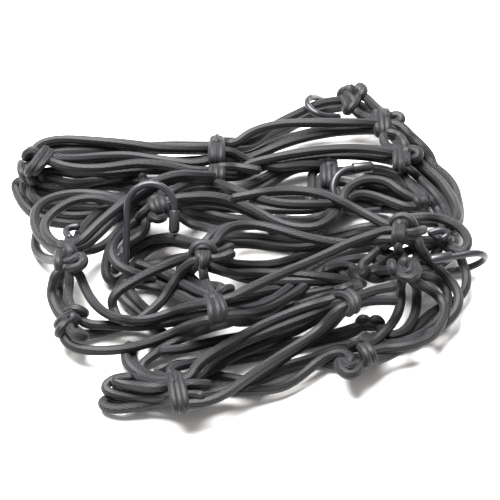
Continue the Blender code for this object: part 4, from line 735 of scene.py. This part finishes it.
def cord_tube(track, radius, number):
    """A cord along its track; its radius swells by about 2% along its length, as braid does."""
    line = fine(lies(track), RING_STEP)
    run = lengths(line)
    swell = 1 + 0.012 * np.sin(run / 8.3 + number) + 0.01 * np.sin(run / 3.1 + 2.3 * number)
    line, radius = rounded(line, radius * swell)
    return swept(line, radius, CORD_SIDES, start=37.0 * number)


def turn_of_cord(knot, height, spots, radius, number):
    """One turn of cord round a knot, closed: it rises over the front by height times the sine
    of the way through the spots, seen from VIEWER, and returns straight behind, as far below.
    """
    up = KNOTS[knot][2]
    front = smooth_through([(x, back, up) for x, back in spots], RING_STEP)
    way = np.linspace(0, 1, len(front))
    rise = height * np.sin(np.pi * way) ** 0.7
    over = front + np.outer(rise, [0, 0, 1])
    under = front[-1] + np.outer(way, front[0] - front[-1]) - np.outer(0.8 * rise, [0, 0, 1])
    ring = lies(np.vstack([over, under[1:]]))
    run = lengths(ring)
    ring = resample(ring, run, int(run[-1] / RING_STEP) + 3)[:-1]
    for _ in range(4):
        ring = 0.25 * np.roll(ring, 1, axis=0) + 0.5 * ring + 0.25 * np.roll(ring, -1, axis=0)
    return swept(ring, radius, CORD_SIDES, closed=True, start=11.0 * number)


def knot_core(knot):
    """The cords inside a knot as a barrel: r(s) = CORE_WIDTH half_width sqrt(1 - CORE_ROUNDING s^4)."""
    x, back, up, lean, half_length, half_width = knot
    middle = lies(np.array([[x, back, up]], dtype=float))[0]
    toward = (VIEWER - middle) / np.linalg.norm(VIEWER - middle)
    right = np.array([1.0, 0.0, 0.0])
    raised = np.cross(toward, right)
    along = np.cos(np.radians(lean)) * right + np.sin(np.radians(lean)) * raised
    s = np.linspace(-1, 1, 21)
    line = middle + np.outer(CORE_LENGTH * half_length * s, along)
    return swept(line, CORE_WIDTH * half_width * np.sqrt(1 - CORE_ROUNDING * s ** 4), CORD_SIDES)


# ---------------------------------------------------------------- materials

def effect_group(name, given, result):
    """An empty node group with its named inputs and outputs, and its two end nodes."""
    group = bpy.data.node_groups.new(name, "ShaderNodeTree")
    for way, sockets in (("INPUT", given), ("OUTPUT", result)):
        for socket, kind in sockets:
            group.interface.new_socket(socket, in_out=way, socket_type="NodeSocket" + kind)
    return group, group.nodes.new("NodeGroupInput"), group.nodes.new("NodeGroupOutput")


def clouds(group, scale, detail=2.0):
    """Noise in the piece's own place: a value between 0 and 1."""
    place = group.nodes.new("ShaderNodeTexCoord")
    cloud = group.nodes.new("ShaderNodeTexNoise")
    cloud.inputs["Scale"].default_value = scale
    cloud.inputs["Detail"].default_value = detail
    group.links.new(place.outputs["Object"], cloud.inputs["Vector"])
    return cloud.outputs["Fac"]


def shaded(group, colour, shade):
    """The colour times a brightness."""
    tinted = group.nodes.new("ShaderNodeVectorMath")
    tinted.operation = "SCALE"
    group.links.new(colour, tinted.inputs[0])
    group.links.new(shade, tinted.inputs["Scale"])
    return tinted.outputs[0]


def braid_effect():
    """Node group: lengthwise ribs |sin a| and, finer, two sets of strands wound left and right
    that cross in diamonds |sin b| |sin c|.  Its colour is painted darker where they are low, in
    the grooves between them, as painted shade, and a cloud varies it at random.
    """
    group, given, result = effect_group(
        "braid", [("Around and along", "Vector"), ("Colour", "Color"), ("Pitch", "Float")],
        [("Colour", "Color"), ("Height", "Float")])
    nodes, links = group.nodes, group.links

    def maths(operation, *values):
        node = nodes.new("ShaderNodeMath")
        node.operation = operation
        for socket, value in zip(node.inputs, values):
            if isinstance(value, (int, float)):
                socket.default_value = value
            else:
                links.new(value, socket)
        return node.outputs[0]

    split = nodes.new("ShaderNodeSeparateXYZ")
    links.new(given.outputs["Around and along"], split.inputs[0])
    around = maths("MULTIPLY", split.outputs["X"], BRAID_STRANDS * np.pi)
    along = maths("MULTIPLY", maths("DIVIDE", split.outputs["Y"], given.outputs["Pitch"]), np.pi)
    left = maths("ABSOLUTE", maths("SINE", maths("ADD", around, along)))
    right = maths("ABSOLUTE", maths("SINE", maths("SUBTRACT", around, along)))
    twisted = maths("MULTIPLY_ADD", split.outputs["X"], RIBS * np.pi,
                    maths("MULTIPLY", split.outputs["Y"], np.pi / RIB_TWIST))
    rib = maths("ABSOLUTE", maths("SINE", twisted))
    height = maths("MULTIPLY_ADD", maths("MULTIPLY", left, right), 1 - RIB_SHARE,
                   maths("MULTIPLY", rib, RIB_SHARE))

    uneven = maths("MULTIPLY_ADD", clouds(group, SHEATH_CLOUD), 0.5, 0.75)
    # painted shade: the colour is darker where the braid's height is low, in its grooves; the cloud varies it
    # at random
    shade = maths("MULTIPLY", maths("MULTIPLY_ADD", height, *BRAID_PAINTED_SHADE), uneven)
    links.new(shaded(group, given.outputs["Colour"], shade), result.inputs["Colour"])
    links.new(height, result.inputs["Height"])
    return group


def plain_material(name, colour, **sockets):
    """A named material with constants on its shader's sockets."""
    made = bpy.data.materials.new(name)
    made.use_nodes = True
    shader = made.node_tree.nodes["Principled BSDF"]
    shader.inputs["Base Color"].default_value = (*colour, 1)
    for socket, value in sockets.items():
        shader.inputs[socket.replace("_", " ")].default_value = value
    return made


def cord_material(look):
    """Braided sheath: the pattern follows each cord's own length and round."""
    made = bpy.data.materials.get("cord_sheath")
    if made:
        return made
    made = plain_material("cord_sheath", look.cord_colour, Roughness=look.cord_roughness,
                          Specular_IOR_Level=0.2, Sheen_Weight=0.05, Sheen_Roughness=0.5)
    nodes, links = made.node_tree.nodes, made.node_tree.links
    shader = nodes["Principled BSDF"]
    effect = nodes.new("ShaderNodeGroup")
    effect.node_tree = braid_effect()
    effect.inputs["Colour"].default_value = (*look.cord_colour, 1)
    effect.inputs["Pitch"].default_value = look.braid_pitch / MM
    spread = nodes.new("ShaderNodeUVMap")
    spread.uv_map = "along"
    bump = nodes.new("ShaderNodeBump")
    bump.inputs["Distance"].default_value = look.braid_depth
    bump.inputs["Strength"].default_value = 1.0
    links.new(spread.outputs["UV"], effect.inputs["Around and along"])
    links.new(effect.outputs["Colour"], shader.inputs["Base Color"])
    links.new(effect.outputs["Height"], bump.inputs["Height"])
    links.new(bump.outputs["Normal"], shader.inputs["Normal"])
    return made


def coating_effect():
    """Node group: faint cloudy unevenness of a dipped coating, as a colour and a roughness."""
    group, given, result = effect_group(
        "dipped_coating", [("Colour", "Color")], [("Colour", "Color"), ("Roughness", "Float")])
    cloud = clouds(group, COATING_CLOUD, 3.0)

    def spread(least, most):
        node = group.nodes.new("ShaderNodeMapRange")
        node.inputs["To Min"].default_value = least
        node.inputs["To Max"].default_value = most
        group.links.new(cloud, node.inputs["Value"])
        return node.outputs["Result"]

    group.links.new(spread(*COATING_ROUGHNESS), result.inputs["Roughness"])
    colour = shaded(group, given.outputs["Colour"], spread(*COATING_SHADE))
    group.links.new(colour, result.inputs["Colour"])
    return group


def coated_material(name, colour, **sockets):
    """A material with the unevenness of a dipped or moulded skin."""
    made = plain_material(name, colour, **sockets)
    nodes, links = made.node_tree.nodes, made.node_tree.links
    effect = nodes.new("ShaderNodeGroup")
    effect.node_tree = bpy.data.node_groups.get("dipped_coating") or coating_effect()
    effect.inputs["Colour"].default_value = (*colour, 1)
    links.new(effect.outputs["Colour"], nodes["Principled BSDF"].inputs["Base Color"])
    links.new(effect.outputs["Roughness"], nodes["Principled BSDF"].inputs["Roughness"])
    return made


# ---------------------------------------------------------------- settings

class CargoNetCordSettings(bpy.types.PropertyGroup):
    """Sizes and finish of the elastic cord."""

    cord_radius: FloatProperty(name="Cord radius", description="Radius of the elastic cord in its sheath",
                               default=CORD * MM, min=0.001, unit="LENGTH")
    wrap_scale: FloatProperty(name="Wrap scale", description="Thickness of the turns of cord on the knots",
                              default=1.0, min=0.1)
    braid_pitch: FloatProperty(name="Braid pitch",
                               description="Length of one diamond of the braid along the cord",
                               default=3.5 * MM, min=0.0005, unit="LENGTH")
    braid_depth: FloatProperty(name="Braid depth",
                               description="Height of the braid's strands above its joints",
                               default=0.3 * MM, min=0.0, unit="LENGTH")
    cord_colour: FloatVectorProperty(name="Cord colour", description="Colour of the sheath",
                                     default=(0.0118, 0.0115, 0.013), subtype="COLOR", size=3, min=0, max=1)
    cord_roughness: FloatProperty(name="Cord roughness", description="Roughness of the sheath",
                                  default=0.5, min=0, max=1, subtype="FACTOR")


class CargoNetHookSettings(bpy.types.PropertyGroup):
    """Sizes and finish of the wire hooks and their caps."""

    wire_radius: FloatProperty(name="Wire radius", description="Radius of the wire with its coating",
                               default=WIRE * MM, min=0.0005, unit="LENGTH")
    wire_colour: FloatVectorProperty(name="Wire colour", description="Colour of the wire's dark coating",
                                     default=(0.018, 0.0175, 0.022), subtype="COLOR", size=3, min=0, max=1)
    cap_colour: FloatVectorProperty(name="Cap colour", description="Colour of the plastic caps on the tips",
                                    default=(0.012, 0.012, 0.0145), subtype="COLOR", size=3, min=0, max=1)


class CargoNetStageSettings(bpy.types.PropertyGroup):
    """The floor and the light of the studio."""

    floor_colour: FloatVectorProperty(name="Floor colour", description="Colour of the plain floor",
                                      default=(0.8, 0.785, 0.77), subtype="COLOR", size=3, min=0, max=1)
    room_light: FloatProperty(name="Room light", description="Strength of the light from all round",
                              default=0.6, min=0)
    lamp_power: FloatProperty(name="Lamp power", description="Power in watts of the large lamp overhead",
                              default=125.0, min=0)


# ---------------------------------------------------------------- operators

class CARGONET_OT_cords(bpy.types.Operator):
    """Lay the lower and the upper cords of the net"""

    bl_idname = "cargonet.cords"
    bl_label = "Cords"

    def execute(self, context):
        look = context.scene.cargo_net_cord
        stuff = cord_material(look)
        radius = look.cord_radius / MM
        tubes = [cord_tube(track, radius, number) for number, track in enumerate(laid_cords())]
        piece("cords_lower", tubes[:len(UNDER)], stuff, ["net"])
        piece("cords_upper", tubes[len(UNDER):], stuff, ["net"])
        return {"FINISHED"}


class CARGONET_OT_knots(bpy.types.Operator):
    """Wind the knots of the net"""

    bl_idname = "cargonet.knots"
    bl_label = "Knots"

    def execute(self, context):
        look = context.scene.cargo_net_cord
        tubes = [knot_core(knot) for knot in KNOTS.values()]
        for number, (knot, height, radius, spots) in enumerate(TURNS):
            tubes.append(turn_of_cord(knot, height, spots, look.wrap_scale * radius, number))
        piece("knots", tubes, cord_material(look), ["net"])
        return {"FINISHED"}


class CARGONET_OT_hooks(bpy.types.Operator):
    """Bend the wires of the hooks"""

    bl_idname = "cargonet.hooks"
    bl_label = "Hook wires"

    def execute(self, context):
        look = context.scene.cargo_net_hooks
        stuff = coated_material("coated_wire", look.wire_colour, Metallic=0.1, Coat_Weight=0.15,
                                Coat_Roughness=0.3, Specular_IOR_Level=0.3)
        lines = {name: fine(hook_wire(*spots), 1.0, 1) for name, spots in HOOKS.items()}
        lines.update({name: fine(eye_wire(spots), 1.0, 1) for name, spots in EYES.items()})
        for name, line in lines.items():
            line, radius = rounded(line, look.wire_radius / MM, last=name in EYES)
            wire = swept(line, radius, WIRE_SIDES)
            piece("wire_" + name, [wire], stuff, ["hook_" + name])
        return {"FINISHED"}


class CARGONET_OT_caps(bpy.types.Operator):
    """Push the plastic caps over the hooks' tips"""

    bl_idname = "cargonet.caps"
    bl_label = "Tip caps"

    def execute(self, context):
        look = context.scene.cargo_net_hooks
        stuff = coated_material("cap_plastic", look.cap_colour, Coat_Weight=0.1)
        for name, spots in HOOKS.items():
            line = hook_wire(*spots)
            along = (line[-1] - line[-2]) / np.linalg.norm(line[-1] - line[-2])
            past, radius = np.array(CAP_PROFILE).T
            cap = swept(line[-1] + np.outer(past, along), radius, WIRE_SIDES)
            piece("cap_" + name, [cap], stuff, ["sleeve_" + name])
        return {"FINISHED"}


class CARGONET_OT_stage(bpy.types.Operator):
    """Set the floor, the light and the camera"""

    bl_idname = "cargonet.stage"
    bl_label = "Stage"

    def execute(self, context):
        look = context.scene.cargo_net_stage
        scene = context.scene
        mesh = bpy.data.meshes.new("floor")
        corners = [(-FLOOR, -FLOOR, 0), (FLOOR, -FLOOR, 0), (FLOOR, FLOOR, 0), (-FLOOR, FLOOR, 0)]
        mesh.from_pydata(corners, [], [(0, 1, 2, 3)])
        mesh.materials.append(plain_material("floor_paper", look.floor_colour, Roughness=0.9))
        floor = bpy.data.objects.new("floor", mesh)
        scene.collection.objects.link(floor)
        floor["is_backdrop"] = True

        world = bpy.data.worlds.new("studio")
        world.use_nodes = True
        world.node_tree.nodes["Background"].inputs["Color"].default_value = (1, 1, 1, 1)
        world.node_tree.nodes["Background"].inputs["Strength"].default_value = look.room_light
        scene.world = world
        lamp = bpy.data.lights.new("lamp_overhead", "AREA")
        lamp.shape = "DISK"
        lamp.size = LAMP_SIZE
        lamp.energy = look.lamp_power
        holder = bpy.data.objects.new("lamp_overhead", lamp)
        holder.location = LAMP_PLACE
        holder.rotation_euler = (-Vector(LAMP_PLACE)).to_track_quat("-Z", "Y").to_euler()
        scene.collection.objects.link(holder)

        camera = bpy.data.cameras.new("camera")
        camera.lens = LENS
        camera.sensor_width = SENSOR
        camera.shift_x, camera.shift_y = SHIFT
        holder = bpy.data.objects.new("camera", camera)
        holder.location = (CAMERA - MIDDLE) * MM
        holder.rotation_euler = (np.radians(TILT), 0, 0)
        scene.collection.objects.link(holder)
        scene.camera = holder
        scene.view_settings.view_transform = "Standard"
        return {"FINISHED"}


OPERATORS = (CARGONET_OT_cords, CARGONET_OT_knots, CARGONET_OT_hooks, CARGONET_OT_caps, CARGONET_OT_stage)


class CARGONET_PT_panel(bpy.types.Panel):
    """Lists the steps and the sizes and colours of the net"""

    bl_idname = "CARGONET_PT_panel"
    bl_label = "Cargo net"
    bl_space_type = "VIEW_3D"
    bl_region_type = "UI"
    bl_category = "Cargo net"

    def draw(self, context):
        for operator in OPERATORS:
            self.layout.operator(operator.bl_idname)
        for settings in SETTINGS:
            group = getattr(context.scene, settings)
            for name in group.bl_rna.properties.keys():
                if name not in ("rna_type", "name"):
                    self.layout.prop(group, name)


SETTINGS = {
    "cargo_net_cord": CargoNetCordSettings,
    "cargo_net_hooks": CargoNetHookSettings,
    "cargo_net_stage": CargoNetStageSettings,
}


def register():
    """Make the settings, the operators and the panel known to Blender."""
    for made in (*SETTINGS.values(), *OPERATORS, CARGONET_PT_panel):
        bpy.utils.register_class(made)
    for name, settings in SETTINGS.items():
        setattr(bpy.types.Scene, name, PointerProperty(type=settings))


def unregister():
    """Take them away again."""
    for name in SETTINGS:
        delattr(bpy.types.Scene, name)
    for made in (CARGONET_PT_panel, *reversed(OPERATORS), *SETTINGS.values()):
        bpy.utils.unregister_class(made)


def main():
    """Build every piece and the stage, and work out the boxes of the CAD and of the looks."""
    register()
    bpy.ops.cargonet.cords()
    bpy.ops.cargonet.knots()
    bpy.ops.cargonet.hooks()
    bpy.ops.cargonet.caps()
    bpy.ops.cargonet.stage()
    boxes = {"cad": CAD_BOX, "visual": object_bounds()}
    boxes = {name: [list(map(float, corner)) for corner in box] for name, box in boxes.items()}


if __name__ == "__main__":
    main()
